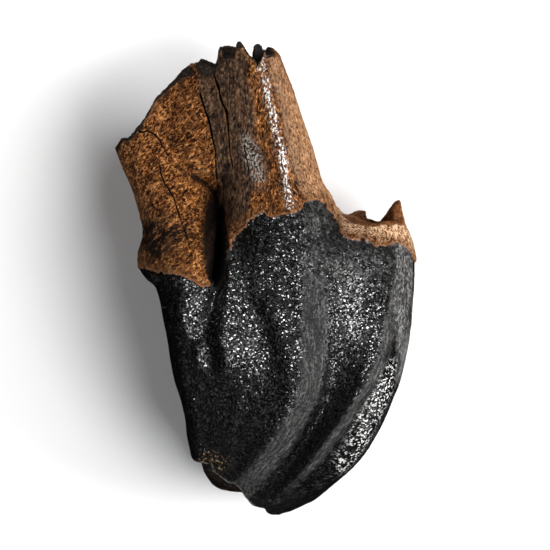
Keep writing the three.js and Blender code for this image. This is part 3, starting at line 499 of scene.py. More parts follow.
def surface_nets(F, ax, ay, az):
    inside = F < 0
    c = np.zeros(tuple(s - 1 for s in F.shape), np.int8)
    for dx in (0, 1):
        for dy in (0, 1):
            for dz in (0, 1):
                c += inside[dx:F.shape[0] - 1 + dx, dy:F.shape[1] - 1 + dy, dz:F.shape[2] - 1 + dz]
    ci, cj, ck = np.nonzero((c > 0) & (c < 8))
    index = np.full(c.shape, -1, np.int32)
    index[ci, cj, ck] = np.arange(len(ci))
    pos = np.zeros((len(ci), 3))
    cnt = np.zeros(len(ci))
    A = (ax, ay, az)
    for axis in range(3):
        o1, o2 = [a for a in range(3) if a != axis]
        for e1 in (0, 1):
            for e2 in (0, 1):
                s = [ci, cj, ck]
                s = [v.copy() for v in s]
                s[o1] = s[o1] + e1
                s[o2] = s[o2] + e2
                f0 = F[s[0], s[1], s[2]]
                q = [v.copy() for v in s]
                q[axis] = q[axis] + 1
                f1 = F[q[0], q[1], q[2]]
                hit = (f0 < 0) != (f1 < 0)
                t = np.where(hit, f0 / np.where(hit, f0 - f1, 1), 0)
                p = np.stack([A[k][s[k]] for k in range(3)], 1).astype(float)
                p[:, axis] += t * (A[axis][q[axis]] - A[axis][s[axis]])
                pos[hit] += p[hit]
                cnt[hit] += 1
    pos /= cnt[:, None]
    quads = []
    for axis in range(3):
        o1, o2 = [(1, 2), (2, 0), (0, 1)][axis]
        sl0 = [slice(None)] * 3
        sl1 = [slice(None)] * 3
        sl0[axis] = slice(0, -1)
        sl1[axis] = slice(1, None)
        a, b = inside[tuple(sl0)], inside[tuple(sl1)]
        hi, hj, hk = np.nonzero(a != b)
        h = [hi, hj, hk]
        ok = (h[o1] > 0) & (h[o2] > 0) & (h[o1] < F.shape[o1] - 1) & (h[o2] < F.shape[o2] - 1)
        h = [v[ok] for v in h]
        flip = b[h[0], h[1], h[2]]

        def cell(d1, d2):
            s = [v.copy() for v in h]
            s[o1] -= d1
            s[o2] -= d2
            return index[s[0], s[1], s[2]]
        q = np.stack([cell(1, 1), cell(0, 1), cell(0, 0), cell(1, 0)], 1)
        q[flip] = q[flip][:, ::-1]
        quads.append(q)
    return pos, np.concatenate(quads)


GX = stretch([(-34.0, 0.52), (33.0, None)])
GY = stretch([(-50.5, 0.54), (9.0, 0.44), (17.5, 0.54), (41.0, 0.38), (50.4, None)])
GZ = stretch([(-0.8, 0.9), (8.0, 0.7), (16.0, 0.54), (49.0, None)])
FIELD = tooth_field(GX[:, None, None], GY[None, :, None], GZ[None, None, :])
verts, quads = surface_nets(FIELD, GX, GY, GZ)
del FIELD
print("surface nets", len(verts), len(quads))


def relax(v, q, rounds, lam=0.5, mu=-0.52):
    """Taubin smoothing, which takes out the grid's steps without shrinking the shape."""
    e = np.concatenate([q[:, [0, 1]], q[:, [1, 2]], q[:, [2, 3]], q[:, [3, 0]]])
    e = np.concatenate([e, e[:, ::-1]])
    deg = np.bincount(e[:, 0], minlength=len(v)).astype(float)
    for _ in range(rounds):
        for k in (lam, mu):
            s = np.stack([np.bincount(e[:, 0], weights=v[e[:, 1], i], minlength=len(v)) for i in range(3)], 1)
            v = v + k * (s / deg[:, None] - v)
    return v


verts = relax(verts, quads, 2)


def biggest_shell(nv, q):
    """Mask of the vertices in the largest connected shell."""
    label = np.arange(nv)
    e = np.concatenate([q[:, [0, 1]], q[:, [1, 2]], q[:, [2, 3]], q[:, [3, 0]]])
    while True:
        low = np.minimum(label[e[:, 0]], label[e[:, 1]])
        new = label.copy()
        np.minimum.at(new, e[:, 0], low)
        np.minimum.at(new, e[:, 1], low)
        new = new[new]
        if (new == label).all():
            break
        label = new
    ids, counts = np.unique(label, return_counts=True)
    return label == ids[np.argmax(counts)]


keep = biggest_shell(len(verts), quads)
print("kept", keep.sum(), "of", len(keep))
remap = np.cumsum(keep) - 1
quads = remap[quads[keep[quads[:, 0]]]]
verts = verts[keep]


def crack_fields(x, y):
    """Signed distance to the nearest crack, its half width there and its depth; width 0 away from it."""
    best = np.full(len(x), 1e9)
    sd, w, dep = np.full(len(x), 9.0), np.zeros(len(x)), np.zeros(len(x))
    for pts, half, depth in CRACKS:
        d, along = seg_distance(x, y, pts)
        ln = np.full(len(x), 1e9)
        sign = np.ones(len(x))
        for a, b in zip(pts[:-1], pts[1:]):
            dx, dy = b[0] - a[0], b[1] - a[1]
            t = np.clip(((x - a[0]) * dx + (y - a[1]) * dy) / (dx * dx + dy * dy), 0, 1)
            dd = np.hypot(x - a[0] - t * dx, y - a[1] - t * dy)
            c = dx * (y - a[1]) - dy * (x - a[0])
            sign = np.where(dd < ln - 1e-9, np.where(c > 0, 1.0, -1.0), sign)
            ln = np.minimum(ln, dd)
        width = half * smooth(0.0, 0.05, along) * (0.35 + 0.65 * smooth(1.0, 0.35, along)) * smooth(1.0, 0.96, along)
        width = width * (0.75 + 0.5 * N1(x * 0.8, y * 0.8, 5.0))
        near = d < best
        sd = np.where(near, d * sign, sd)
        w = np.where(near & (d < 1.4), width, np.where(near, 0.0, w))
        dep = np.where(near, depth, dep)
        best = np.minimum(best, d)
    return sd, np.maximum(w, 0), dep


def edge_distance(x, y, z):
    """Signed mm to the enamel's edge: positive on the roots."""
    a, b = sample(EDGE_TOP, x, y), sample(EDGE_UNDER, x, y)
    k = smooth(17.0, 27.0, z)
    e = b * (1 - k) + a * k
    return e + 0.42 * N1(x * 0.8, y * 0.8, z * 0.8) + 0.2 * N2(x * 2.1, y * 2.1, z * 2.1)


# ---------------------------------------------------------------- finer cells at cracks and edges
bm = bmesh.new()
for p in verts:
    bm.verts.new(p)
bm.verts.ensure_lookup_table()
vs = bm.verts
for q in quads:
    try:
        bm.faces.new((vs[q[0]], vs[q[1]], vs[q[2]], vs[q[3]]))
    except ValueError:
        pass
bm.normal_update()


def refine(test):
    """Split the faces whose middles pass the test."""
    mid = np.array([f.calc_center_median() for f in bm.faces])
    ok = test(mid[:, 0], mid[:, 1], mid[:, 2])
    bm.faces.ensure_lookup_table()
    edges = {e for i in np.nonzero(ok)[0] for e in bm.faces[i].edges}
    bmesh.ops.subdivide_edges(bm, edges=list(edges), cuts=1, use_grid_fill=True)


refine(lambda x, y, z: (z > 24) & (np.abs(crack_fields(x, y)[0]) < 0.9) & (crack_fields(x, y)[1] > 0.02))
refine(lambda x, y, z: (z > 24) & (np.abs(crack_fields(x, y)[0]) < 0.5) & (crack_fields(x, y)[1] > 0.12))
refine(lambda x, y, z: (np.abs(edge_distance(x, y, z)) < 0.45) & (z > 12))
bmesh.ops.recalc_face_normals(bm, faces=bm.faces)
mesh = bpy.data.meshes.new("tooth_body")
bm.to_mesh(mesh)
bm.free()


def get(attr, n, layer=None):
    out = np.empty(n * 3)
    (layer or mesh.vertices).foreach_get(attr, out)
    return out.reshape(-1, 3)


def normals():
    mesh.update()
    out = np.empty(len(mesh.vertices) * 3, np.float32)
    mesh.vertex_normals.foreach_get("vector", out)
    return out.reshape(-1, 3).astype(float)


def put(v):
    mesh.vertices.foreach_set("co", np.ascontiguousarray(v).ravel())


V = get("co", len(mesh.vertices))
nv = len(V)
ed = np.empty(len(mesh.edges) * 2, np.int32)
mesh.edges.foreach_get("vertices", ed)
ed = ed.reshape(-1, 2)
ed = np.concatenate([ed, ed[:, ::-1]])
deg = np.bincount(ed[:, 0], minlength=nv).astype(float)


def spread(val):
    """Mean over each vertex's neighbours."""
    if val.ndim == 1:
        return np.bincount(ed[:, 0], weights=val[ed[:, 1]], minlength=nv) / deg
    return np.stack([spread(val[:, i]) for i in range(val.shape[1])], 1)


# bring the vertices back onto the field
N = normals()
for _ in range(2):
    f0 = tooth_field(V[:, 0], V[:, 1], V[:, 2])
    V = V - N * np.clip(0.8 * f0, -0.12, 0.12)[:, None]
    put(V)
    N = normals()

# ---------------------------------------------------------------- masks
x, y, z = V.T
P = tooth_field(x, y, z, parts=True)
topside = smooth(21.0, 25.0, z)
edge = edge_distance(x, y, z)
hollow = smooth(0.9, 0.3, np.abs(P["cav"])) * (edge > -2)
hollow_right = smooth(1.0, 0.3, np.abs(P["c_right"])) * (y > 3)
cleft = smooth(0.9, 0.2, np.abs(P["slot"])) * (z < 43)
wear = smooth(0.75, 0.25, np.abs(P["wear"])) * (y < -20)
in_left, in_tall, in_right, in_tongue = (P[k] < 0.8 for k in ("left", "tall", "right", "tongue"))
broken = np.zeros(nv)
for k, m, y0 in (("lb", in_left & (x < -9.6), 20), ("tb", in_tall, 30), ("rb", in_right, 8), ("gb", in_tongue & (z < 21), 24)):
    broken = np.maximum(broken, smooth(0.9, 0.35, np.abs(P[k])) * m * (y > y0))
# blackened tips
for tx, ty, rx, ry in ((-11.9, 43.2, 2.3, 1.9), (-16.2, 42.0, 2.0, 0.9), (-5.2, 48.0, 1.0, 1.2), (-30.6, 27.6, 1.1, 1.7)):
    broken = np.maximum(broken, smooth(1.15, 0.85, np.hypot((x - tx) / rx, (y - ty) / ry) + 0.25 * N2(x * 0.9, y * 0.9, z * 0.9)))
crack_d, crack_w, crack_dep = crack_fields(x, y)
crack_w = crack_w * (z > 24) * (1 - broken)
band_a = sample(band_map(BAND_A, 2.2), x, y) * topside * (0.66 + 0.34 * smooth(2.0, -8.0, y)) * (1 - 0.25 * smooth(-34.0, -42.0, y))
band_b = sample(band_map(BAND_B, 1.3), x, y) * topside * smooth(5.0, 2.0, y) * (1 - 0.5 * smooth(-36.0, -43.0, y))
upper = smooth(-14.0, 4.0, y) * smooth(4.0, 12.0, x) * smooth(31.5, 28.5, x) * topside
margin_x = np.interp(y, [-26.0, -17.0, -4.0, 4.0], [24.2, 25.6, 24.6, 25.2])
margin = smooth(0.0, 2.4, x - margin_x) * smooth(-29.0, -18.0, y + 3.0 * N1(x * 0.12, y * 0.12, z * 0.12)) * smooth(-0.25, 0.35, N[:, 2] + 0.25 * N2(x * 0.15, y * 0.15, z * 0.15)) * smooth(17.0, 29.0, z)
d_rib, _ = seg_distance(x, y, LOW_RIB)
rib = smooth(1.6, 0.5, d_rib) * topside * 0.7
knob = np.exp(-((x + 23.0) / 3.0) ** 2 - ((y + 0.5) / 2.2) ** 2)
rib = 0.4 * rib * smooth(-22.0, -27.0, y) * smooth(-39.5, -36.0, y)
matte = np.clip(np.maximum.reduce([band_a, band_b, 0.55 * upper, margin, rib, 0.5 * knob]), 0, 1)
# darker areas of the cementum: on the left root, along its break, and on the tall root
dark_areas = (1.2 * np.exp(-((x + 22.8) / 3.0) ** 2 - ((y - 7.6) / 5.2) ** 2) + 0.9 * np.exp(-((x + 18.0) / 6.0) ** 2 - ((y - 9.5) / 3.0) ** 2)
         + 0.6 * smooth(2.2, 0.4, np.abs(P["lb"])) * (P["left"] < 1.5) + 0.5 * np.exp(-((x - 0.5) / 2.2) ** 2 - ((y - 24.0) / 7.0) ** 2))
# painted shade: a soft dark band along the cleft between the left and the tall root, standing in for the tall root's
# shadow
cleft_shade = np.exp(-((x + 10.9 - 0.03 * (y - 10)) / 2.0) ** 2 - (np.abs(y - 9.5) / 9.0) ** 3) * topside
grey_x = np.interp(y, [p[1] for p in GREY_RIGHT[::-1]], [p[0] for p in GREY_RIGHT[::-1]])
k2_x = np.interp(y, [p[1] for p in CRACKS[1][0][::-1]], [p[0] for p in CRACKS[1][0][::-1]])
tan_x = np.interp(y, [p[1] for p in TAN_LEFT[::-1]], [p[0] for p in TAN_LEFT[::-1]])
wig = 0.7 * N1(x * 0.5, y * 0.35, 1.0)
grey = smooth(-0.4, 0.4, x - k2_x + 0.3 * wig) * smooth(0.7, -0.7, x - grey_x + wig) * topside * smooth(8.0, 14.0, y)
tan = smooth(-0.5, 0.5, x - tan_x + 0.3 * wig) * smooth(6, 9, y) * (P["tall"] < 2.5)
tan = np.maximum(tan, smooth(9.0, 12.0, x) * smooth(18.5, 16.5, y) * topside)
ridge_x = np.interp(y, [p[0] for p in CREST], [p[1] for p in CREST])

# ---------------------------------------------------------------- surface relief
root = smooth(-0.12, 0.16, edge)
enamel = 1 - root
outer = (1 - hollow) * (1 - broken) * (1 - wear)
D = np.zeros(nv)
# cementum stands a little proud of the enamel where it ends
D += outer * root * 0.34 * np.exp(-np.maximum(edge, 0) / 4.5)
D -= outer * enamel * 0.10 * np.exp(-np.maximum(-edge, 0) / 0.7)
# enamel: shallow wrinkles and upright furrows that follow the folds
flow = sample(FLOW, x, y) * topside + x * (1 - topside)
D += outer * enamel * (1 - 0.65 * matte) * (0.075 * N1(x * 0.75, y * 0.6, z * 0.75) + 0.055 * N2(x * 1.5, y * 1.3, z * 1.5))
D += outer * enamel * 0.06 * N3(flow * 0.9, y * 0.10, z * 0.4)
# cementum: fibres along the roots, growth lines across the left one, small swellings
q, q2 = 0.68 * x - 0.73 * y, 0.73 * x + 0.68 * y
grow = 0.15 * N2(q * 0.85, q2 * 0.12, z * 0.3) + 0.08 * N1(q * 1.9, q2 * 0.2, z * 0.6)
fibre = 0.13 * N3(x * 0.8, y * 0.14, z * 0.8) + 0.08 * N1(x * 1.7, y * 0.3, z * 1.7)
is_left = smooth(-9.0, -10.5, x) * smooth(14, 20, z)
D += outer * root * (grow * is_left + fibre * (1 - is_left) + 0.10 * N2(x * 0.45, y * 0.45, z * 0.45) + 0.05 * N1(x * 1.9, y * 1.9, z * 1.9))
# crumpled lip along the enamel
lip = outer * root * np.exp(-((edge - 1.3) / 1.4) ** 2)
D += lip * 0.22 * N3(x * 1.1, y * 1.1, z * 1.1)
D += (hollow * 0.12 + broken * 0.16) * N2(x * 1.6, y * 1.0, z * 1.6)
D += wear * 0.06 * N1(x * 1.5, y * 1.5, z * 1.5)
# cracks
rel = np.abs(crack_d) / np.maximum(crack_w, 1e-3)
D -= np.where(crack_w > 0.02, crack_dep * smooth(1.25, 0.5, rel), 0) * outer
D += np.where(crack_w > 0.02, 0.08 * np.exp(-((np.abs(crack_d) - 0.35) / 0.2) ** 2), 0) * outer
V2 = V + N * D[:, None]
V2[:, 2] = np.maximum(V2[:, 2], 0.0)
put(V2)
N2v = normals()
# hollows and crests, from how far each vertex lies under its neighbours' mean; the material paints shade into the
# hollows and a highlight onto the crests from it
c = np.einsum("ij,ij->i", spread(V2) - V2, N2v)
for _ in range(2):
    c = 0.5 * c + 0.5 * spread(c)
wide = np.einsum("ij,ij->i", spread(spread(spread(spread(V2)))) - V2, N2v)
for _ in range(4):
    wide = 0.5 * wide + 0.5 * spread(wide)

put(V2 * MM)
mesh.update()
mesh.calc_loop_triangles()
print("triangles", len(mesh.loop_triangles), "vertices", nv)
mesh.polygons.foreach_set("use_smooth", np.ones(len(mesh.polygons), bool))


def keep_value(name, value):
    a = mesh.attributes.new(name, "FLOAT", "POINT")
    a.data.foreach_set("value", np.ascontiguousarray(value, np.float32))


def keep_vector(name, value):
    a = mesh.attributes.new(name, "FLOAT_VECTOR", "POINT")
    a.data.foreach_set("vector", np.ascontiguousarray(value, np.float32).ravel())


keep_vector("place", V)
keep_vector("along", np.stack([flow, y, z], 1))
keep_vector("growth", np.stack([q, q2, z], 1))
keep_value("edge", edge)
keep_value("matte", matte)
keep_value("hollow", np.clip(hollow, 0, 1))
keep_value("hollow_right", np.clip(hollow_right, 0, 1))
keep_value("cleft", np.clip(cleft, 0, 1))
keep_value("broken", np.clip(broken, 0, 1))
keep_value("wear", np.clip(wear, 0, 1))
keep_value("rim", P["rim"] + P["fold"] * P["basin"] * 0.9)
keep_value("basin", P["basin"])
keep_value("crack_d", crack_d)
keep_value("crack_w", crack_w)
keep_value("grey", grey)
keep_value("tan", tan)
keep_value("streak", x - ridge_x)
keep_value("left", is_left)
keep_value("curve_shade", np.clip(c * 12, -1, 1))
keep_value("valley", np.clip(wide * 3, -1, 1))
keep_value("top", topside)
keep_value("cleft_shade", cleft_shade)
keep_value("margin", np.clip(margin, 0, 1))
# painted glints: zones on the cheek face, low on the worn side and higher up on the right, where pale specks stand in
# for the light's sparkle
d_glint, _ = seg_distance(x, y, [(25.2, -18.5), (23.0, -25.0), (19.8, -31.5), (16.4, -37.5)])
d_glint_up, _ = seg_distance(x, y, [(17.8, 0.5), (17.4, -5.0), (18.4, -10.5)])
glint = np.maximum(smooth(3.4, 0.9, d_glint + 0.8 * N1(x * 0.4, y * 0.4, 2.0)), 0.75 * smooth(3.0, 0.8, d_glint_up + 0.7 * N1(x * 0.4, y * 0.4, 5.0)))
keep_value("glint", glint * smooth(0.05, 0.4, N[:, 2]) * smooth(18.0, 26.0, z))
# painted highlight: a thin pale line where the worn face meets the unworn enamel, standing in for the edge catching
# the light
keep_value("worn_edge_highlight", smooth(0.30, 0.10, np.abs(P["unworn"])) * smooth(0.30, 0.10, np.abs(P["wear"])) * smooth(18.0, 21.0, z) * (y < -30))
keep_value("chips", smooth(1.3, 0.7, np.hypot((x + 10.6) / 3.0, (y + 37.2) / 2.2)) * topside)
keep_value("rband", smooth(13.0, 16.5, x) * smooth(17.5, 15.5, y) * smooth(22.0, 31.0, z + 2.0 * N2(x * 0.3, y * 0.3, z * 0.3)))
keep_value("shiny", smooth(2.6, 2.0, np.abs(x - ridge_x)) * smooth(7.0, 9.0, y) * topside)
keep_value("patch", smooth(1.5, 0.6, np.hypot((x + 2.3 + 0.30 * (y - 24)) / 1.7, (y - 24.0) / 4.6)) * topside)
keep_value("dark_areas", np.clip(dark_areas, 0, 1))

tooth = bpy.data.objects.new("tooth_body", mesh)
bpy.context.collection.objects.link(tooth)

# ======================================================================================
# Material
# ======================================================================================
mat = bpy.data.materials.new("fossil_tooth")
mat.use_nodes = True
nt = mat.node_tree
nt.nodes.clear()
LINK = nt.links.new


def feed(socket, v):
    if v is None:
        return
    if isinstance(v, bpy.types.NodeSocket):
        LINK(v, socket)
    elif isinstance(v, (tuple, list)):
        socket.default_value = (*v, 1.0) if len(v) == 3 and len(socket.default_value) == 4 else tuple(v)
    else:
        socket.default_value = v


def attr(name, vector=False):
    n = nt.nodes.new("ShaderNodeAttribute")
    n.attribute_type = "GEOMETRY"
    n.attribute_name = name
    return n.outputs["Vector" if vector else "Fac"]


def m(op, a, b=None, c=None, clamp=False):
    n = nt.nodes.new("ShaderNodeMath")
    n.operation = op
    n.use_clamp = clamp
    for s, v in zip(n.inputs, (a, b, c)):
        feed(s, v)
    return n.outputs[0]


def add(a, b): return m("ADD", a, b)
def sub(a, b): return m("SUBTRACT", a, b)
def mul(a, b): return m("MULTIPLY", a, b)
def inv(a): return m("SUBTRACT", 1.0, a)
def big(a, b): return m("MAXIMUM", a, b)
def small(a, b): return m("MINIMUM", a, b)
def absolute(a): return m("ABSOLUTE", a)


def mulall(*v):
    out = v[0]
    for w in v[1:]:
        out = mul(out, w)
    return out


def rng(v, a, b, lo=0.0, hi=1.0, kind="SMOOTHSTEP"):
    n = nt.nodes.new("ShaderNodeMapRange")
    n.interpolation_type = kind
    feed(n.inputs["Value"], v)
    feed(n.inputs["From Min"], a)
    feed(n.inputs["From Max"], b)
    feed(n.inputs["To Min"], lo)
    feed(n.inputs["To Max"], hi)
    return n.outputs[0]


def scaled(v, s):
    n = nt.nodes.new("ShaderNodeVectorMath")
    n.operation = "MULTIPLY"
    LINK(v, n.inputs[0])
    n.inputs[1].default_value = s
    return n.outputs[0]


def moved(v, w, k):
    """v + k * w"""
    n = nt.nodes.new("ShaderNodeVectorMath")
    n.operation = "MULTIPLY_ADD"
    LINK(w, n.inputs[0])
    n.inputs[1].default_value = (k, k, k)
    LINK(v, n.inputs[2])
    return n.outputs[0]


def noise(v, scale, detail=2.0, rough=0.55, distortion=0.0, color=False):
    n = nt.nodes.new("ShaderNodeTexNoise")
    LINK(v, n.inputs["Vector"])
    n.inputs["Scale"].default_value = scale
    n.inputs["Detail"].default_value = detail
    n.inputs["Roughness"].default_value = rough
    n.inputs["Distortion"].default_value = distortion
    return n.outputs["Color" if color else "Fac"]


def cells(v, scale, feature="F1", out="Distance", rand=1.0):
    n = nt.nodes.new("ShaderNodeTexVoronoi")
    n.feature = feature
    LINK(v, n.inputs["Vector"])
    n.inputs["Scale"].default_value = scale
    n.inputs["Randomness"].default_value = rand
    return n.outputs[out]


def facets(v, scale, slope):
    """Height in mm of a skin of small cells, each tilted its own way; v is in millimetres."""
    n = nt.nodes.new("ShaderNodeTexVoronoi")
    LINK(v, n.inputs["Vector"])
    n.inputs["Scale"].default_value = scale
    away = nt.nodes.new("ShaderNodeVectorMath")
    away.operation = "SUBTRACT"
    LINK(v, away.inputs[0])
    LINK(n.outputs["Position"], away.inputs[1])
    lean = nt.nodes.new("ShaderNodeVectorMath")
    lean.operation = "MULTIPLY_ADD"
    LINK(n.outputs["Color"], lean.inputs[0])
    lean.inputs[1].default_value = (2 * slope, 2 * slope, 2 * slope)
    lean.inputs[2].default_value = (-slope, -slope, -slope)
    dot = nt.nodes.new("ShaderNodeVectorMath")
    dot.operation = "DOT_PRODUCT"
    LINK(away.outputs[0], dot.inputs[0])
    LINK(lean.outputs[0], dot.inputs[1])
    return dot.outputs["Value"]


def blend(fac, a, b, kind="MIX"):
    n = nt.nodes.new("ShaderNodeMix")
    n.data_type = "RGBA"
    n.blend_type = kind
    n.clamp_factor = True
    feed(n.inputs[0], fac)
    feed(n.inputs[6], a)
    feed(n.inputs[7], b)
    return n.outputs[2]


def mixf(fac, a, b):
    n = nt.nodes.new("ShaderNodeMix")
    n.data_type = "FLOAT"
    n.clamp_factor = True
    feed(n.inputs[0], fac)
    feed(n.inputs[2], a)
    feed(n.inputs[3], b)
    return n.outputs[0]


def ramp(v, stops, kind="LINEAR"):
    n = nt.nodes.new("ShaderNodeValToRGB")
    n.color_ramp.interpolation = kind
    e = n.color_ramp.elements
    while len(e) < len(stops):
        e.new(0.5)
    for el, (pos, c) in zip(e, stops):
        el.position = pos
        el.color = (*c, 1.0)
    LINK(v, n.inputs[0])
    return n.outputs[0]


place = attr("place", True)
along = attr("along", True)
growth = attr("growth", True)
a_edge, a_matte, a_hollow, a_hright = attr("edge"), attr("matte"), attr("hollow"), attr("hollow_right")
a_cleft, a_broken, a_wear, a_rim, a_basin = attr("cleft"), attr("broken"), attr("wear"), attr("rim"), attr("basin")
a_cd, a_cw, a_grey, a_tan = attr("crack_d"), attr("crack_w"), attr("grey"), attr("tan")
a_streak, a_left, a_curve_shade, a_valley, a_top = attr("streak"), attr("left"), attr("curve_shade"), attr("valley"), attr("top")

# ---- noises shared by colour and relief (coordinates are millimetres)
warp = noise(place, 0.9, 2.0, color=True)
warped = moved(place, warp, 1.1)
n_big = noise(place, 0.16, 3.0)
n_mid = noise(place, 0.55, 4.0, 0.6)
n_fine = noise(place, 1.9, 3.0, 0.6)
n_grain = noise(place, 4.6, 2.0, 0.6)

edge_s = add(a_edge, mul(sub(n_fine, 0.5), 0.5))
is_root = rng(edge_s, -0.05, 0.07)

# ---- enamel: a skin of tiny facets, glossy, and duller on the two bands and the margin
skin = facets(moved(scaled(place, (0.92, 1.2, 1.0)), warp, 0.8), 3.2, 0.35)
freckle = noise(place, 1.6, 1.0)
hammer = noise(warped, 1.15, 1.0, 0.5)
coarse = noise(warped, 0.5, 1.0, 0.5)
stria = noise(scaled(along, (1.25, 0.22, 0.5)), 1.0, 3.0, 0.7)
grain = noise(moved(scaled(along, (2.6, 1.2, 1.8)), warp, 0.5), 1.0, 2.0, 0.7)
matte_s = rng(add(add(a_matte, mul(sub(n_mid, 0.5), 0.9)), mul(sub(freckle, 0.5), 0.9)), 0.18, 0.95)
e_dark = ramp(add(mul(grain, 0.7), mul(n_fine, 0.3)), [(0.44, (0.0012, 0.0012, 0.0012)), (0.54, (0.0034, 0.0033, 0.0032)), (0.66, (0.040, 0.039, 0.0375))])
e_matte = ramp(add(mul(grain, 0.5), mul(stria, 0.5)), [(0.43, (0.0008, 0.0008, 0.0008)), (0.51, (0.0080, 0.0078, 0.0075)), (0.585, (0.078, 0.0763, 0.0735))])
e_matte = blend(attr("margin"), e_matte, ramp(add(mul(grain, 0.7), mul(stria, 0.3)), [(0.42, (0.003, 0.003, 0.0028)), (0.51, (0.045, 0.0435, 0.0412)), (0.61, (0.22, 0.213, 0.204))]))
# painted glints: in those zones a share of small cells in the glossy enamel turns pale
glint_cells = cells(moved(scaled(place, (0.92, 1.2, 1.0)), warp, 0.8), 3.0, "F1", "Color")
e_dark = blend(mulall(attr("glint"), inv(matte_s), rng(glint_cells, 0.68, 0.74)), e_dark, (0.66, 0.65, 0.64))
enamel_col = blend(matte_s, e_dark, e_matte)
enamel_h = add(skin, add(mul(hammer, 0.08), mul(coarse, 0.28)))
enamel_h = add(enamel_h, mulall(matte_s, sub(stria, 0.5), 0.30))
enamel_r = mixf(matte_s, rng(n_mid, 0.35, 0.65, 0.09, 0.15, "LINEAR"), mixf(grain, 0.84, 0.62))

# ---- cementum: mottled brown, with short pale strokes, pits and fibres
def strokes_of(v, scale, width, detail=1.0):
    return rng(absolute(sub(noise(v, scale, detail, 0.5), 0.5)), 0.0, width, 1.0, 0.0)


growth_v = moved(scaled(growth, (1.0, 0.50, 0.8)), warp, 0.9)
upright_v = moved(scaled(place, (1.15, 0.42, 1.0)), warp, 0.8)
strokes = mixf(a_left, strokes_of(upright_v, 1.5, 0.075), strokes_of(growth_v, 1.4, 0.07))
hair = mixf(a_left, strokes_of(scaled(place, (1.5, 0.16, 1.0)), 1.0, 0.045, 2.0), strokes_of(scaled(growth, (1.3, 0.20, 0.8)), 1.0, 0.04, 2.0))
mott = mixf(a_left, noise(scaled(place, (1.25, 0.50, 1.15)), 0.80, 5.0, 0.68, 0.4), noise(scaled(growth, (1.2, 0.55, 1.0)), 0.80, 5.0, 0.68, 0.4))
speck = mixf(a_left, noise(scaled(place, (1.3, 0.55, 1.2)), 2.2, 2.0, 0.65), noise(scaled(growth, (1.3, 0.60, 1.1)), 2.2, 2.0, 0.65))
knots = noise(scaled(place, (2.0, 0.9, 2.0)), 1.0, 2.0, 0.6)
pits = cells(moved(place, warp, 0.8), 0.95)
a_dark_areas = attr("dark_areas")
a_patch_n = noise(moved(scaled(place, (3.0, 1.7, 2.0)), warp, 2.4), 1.0, 2.0, 0.6)
lobe = cells(moved(scaled(growth, (0.55, 0.38, 0.5)), warp, 0.7), 1.0, "DISTANCE_TO_EDGE")
net = mulall(rng(lobe, 0.0, 0.060, 1.0, 0.0), a_left, rng(n_mid, 0.32, 0.46))
tone = add(0.5, mul(sub(add(add(mul(n_mid, 0.20), mul(mott, 0.35)), mul(speck, 0.45)), 0.5), 2.1))
brown = ramp(tone, [(0.36, (0.005, 0.0018, 0.0006)), (0.45, (0.030, 0.0088, 0.0016)), (0.52, (0.088, 0.0262, 0.0046)), (0.59, (0.185, 0.060, 0.0115)), (0.70, (0.36, 0.140, 0.035))])
pale = ramp(tone, [(0.38, (0.20, 0.070, 0.016)), (0.50, (0.45, 0.178, 0.045)), (0.62, (0.84, 0.43, 0.16))])
brown = blend(mul(big(strokes, net), 0.85), brown, pale)
brown = blend(mul(rng(pits, 0.20, 0.06), 0.9), brown, (0.006, 0.0024, 0.0009))
brown = blend(mul(hair, 0.55), brown, (0.010, 0.004, 0.0015))
# darker areas of the cementum
brown = blend(mul(a_dark_areas, rng(mott, 0.68, 0.46)), brown, (0.010, 0.0065, 0.0042))
greyc = ramp(add(mul(tone, 0.5), mul(knots, 0.5)), [(0.40, (0.006, 0.0032, 0.0019)), (0.47, (0.048, 0.0250, 0.0132)), (0.54, (0.115, 0.064, 0.0370)), (0.63, (0.26, 0.165, 0.105))])
greyc = blend(mul(strokes, 0.40), greyc, (0.16, 0.105, 0.072))
greyc = blend(mul(hair, 0.9), greyc, (0.004, 0.0025, 0.0017))
greyc = blend(rng(mott, 0.56, 0.70, 0.0, 0.6), greyc, (0.10, 0.042, 0.014))
tanc = ramp(tone, [(0.34, (0.075, 0.027, 0.009)), (0.44, (0.225, 0.097, 0.037)), (0.54, (0.42, 0.214, 0.100)), (0.68, (0.72, 0.46, 0.26))])
tanc = blend(mul(strokes, 0.45), tanc, (0.58, 0.37, 0.21))
tanc = blend(mul(rng(a_streak, 5.0, 1.5), 0.5), tanc, (0.225, 0.158, 0.110))
tanc = blend(mul(rng(speck, 0.44, 0.34), 0.85), tanc, (0.045, 0.016, 0.006))
tanc = blend(mul(hair, 0.35), tanc, (0.080, 0.036, 0.016))
cem = blend(a_grey, brown, greyc)
cem = blend(a_tan, cem, tanc)
bandc = ramp(tone, [(0.36, (0.070, 0.024, 0.008)), (0.44, (0.30, 0.145, 0.066)), (0.53, (0.72, 0.46, 0.27)), (0.66, (0.95, 0.74, 0.54))])
bandc = blend(mul(rng(pits, 0.24, 0.08), 0.9), bandc, (0.030, 0.011, 0.004))
cem = blend(attr("rband"), cem, bandc)
lip = mul(rng(edge_s, 2.2, 0.3), inv(mul(a_grey, 0.6)))
lipc = ramp(add(mul(speck, 0.5), mul(mott, 0.5)), [(0.38, (0.016, 0.006, 0.002)), (0.47, (0.095, 0.036, 0.011)), (0.56, (0.22, 0.098, 0.036)), (0.66, (0.48, 0.29, 0.15))])
cem = blend(mul(lip, 0.75), cem, lipc)
cem = blend(mul(rng(edge_s, 0.42, 0.12), 0.65), cem, (0.25, 0.100, 0.034))
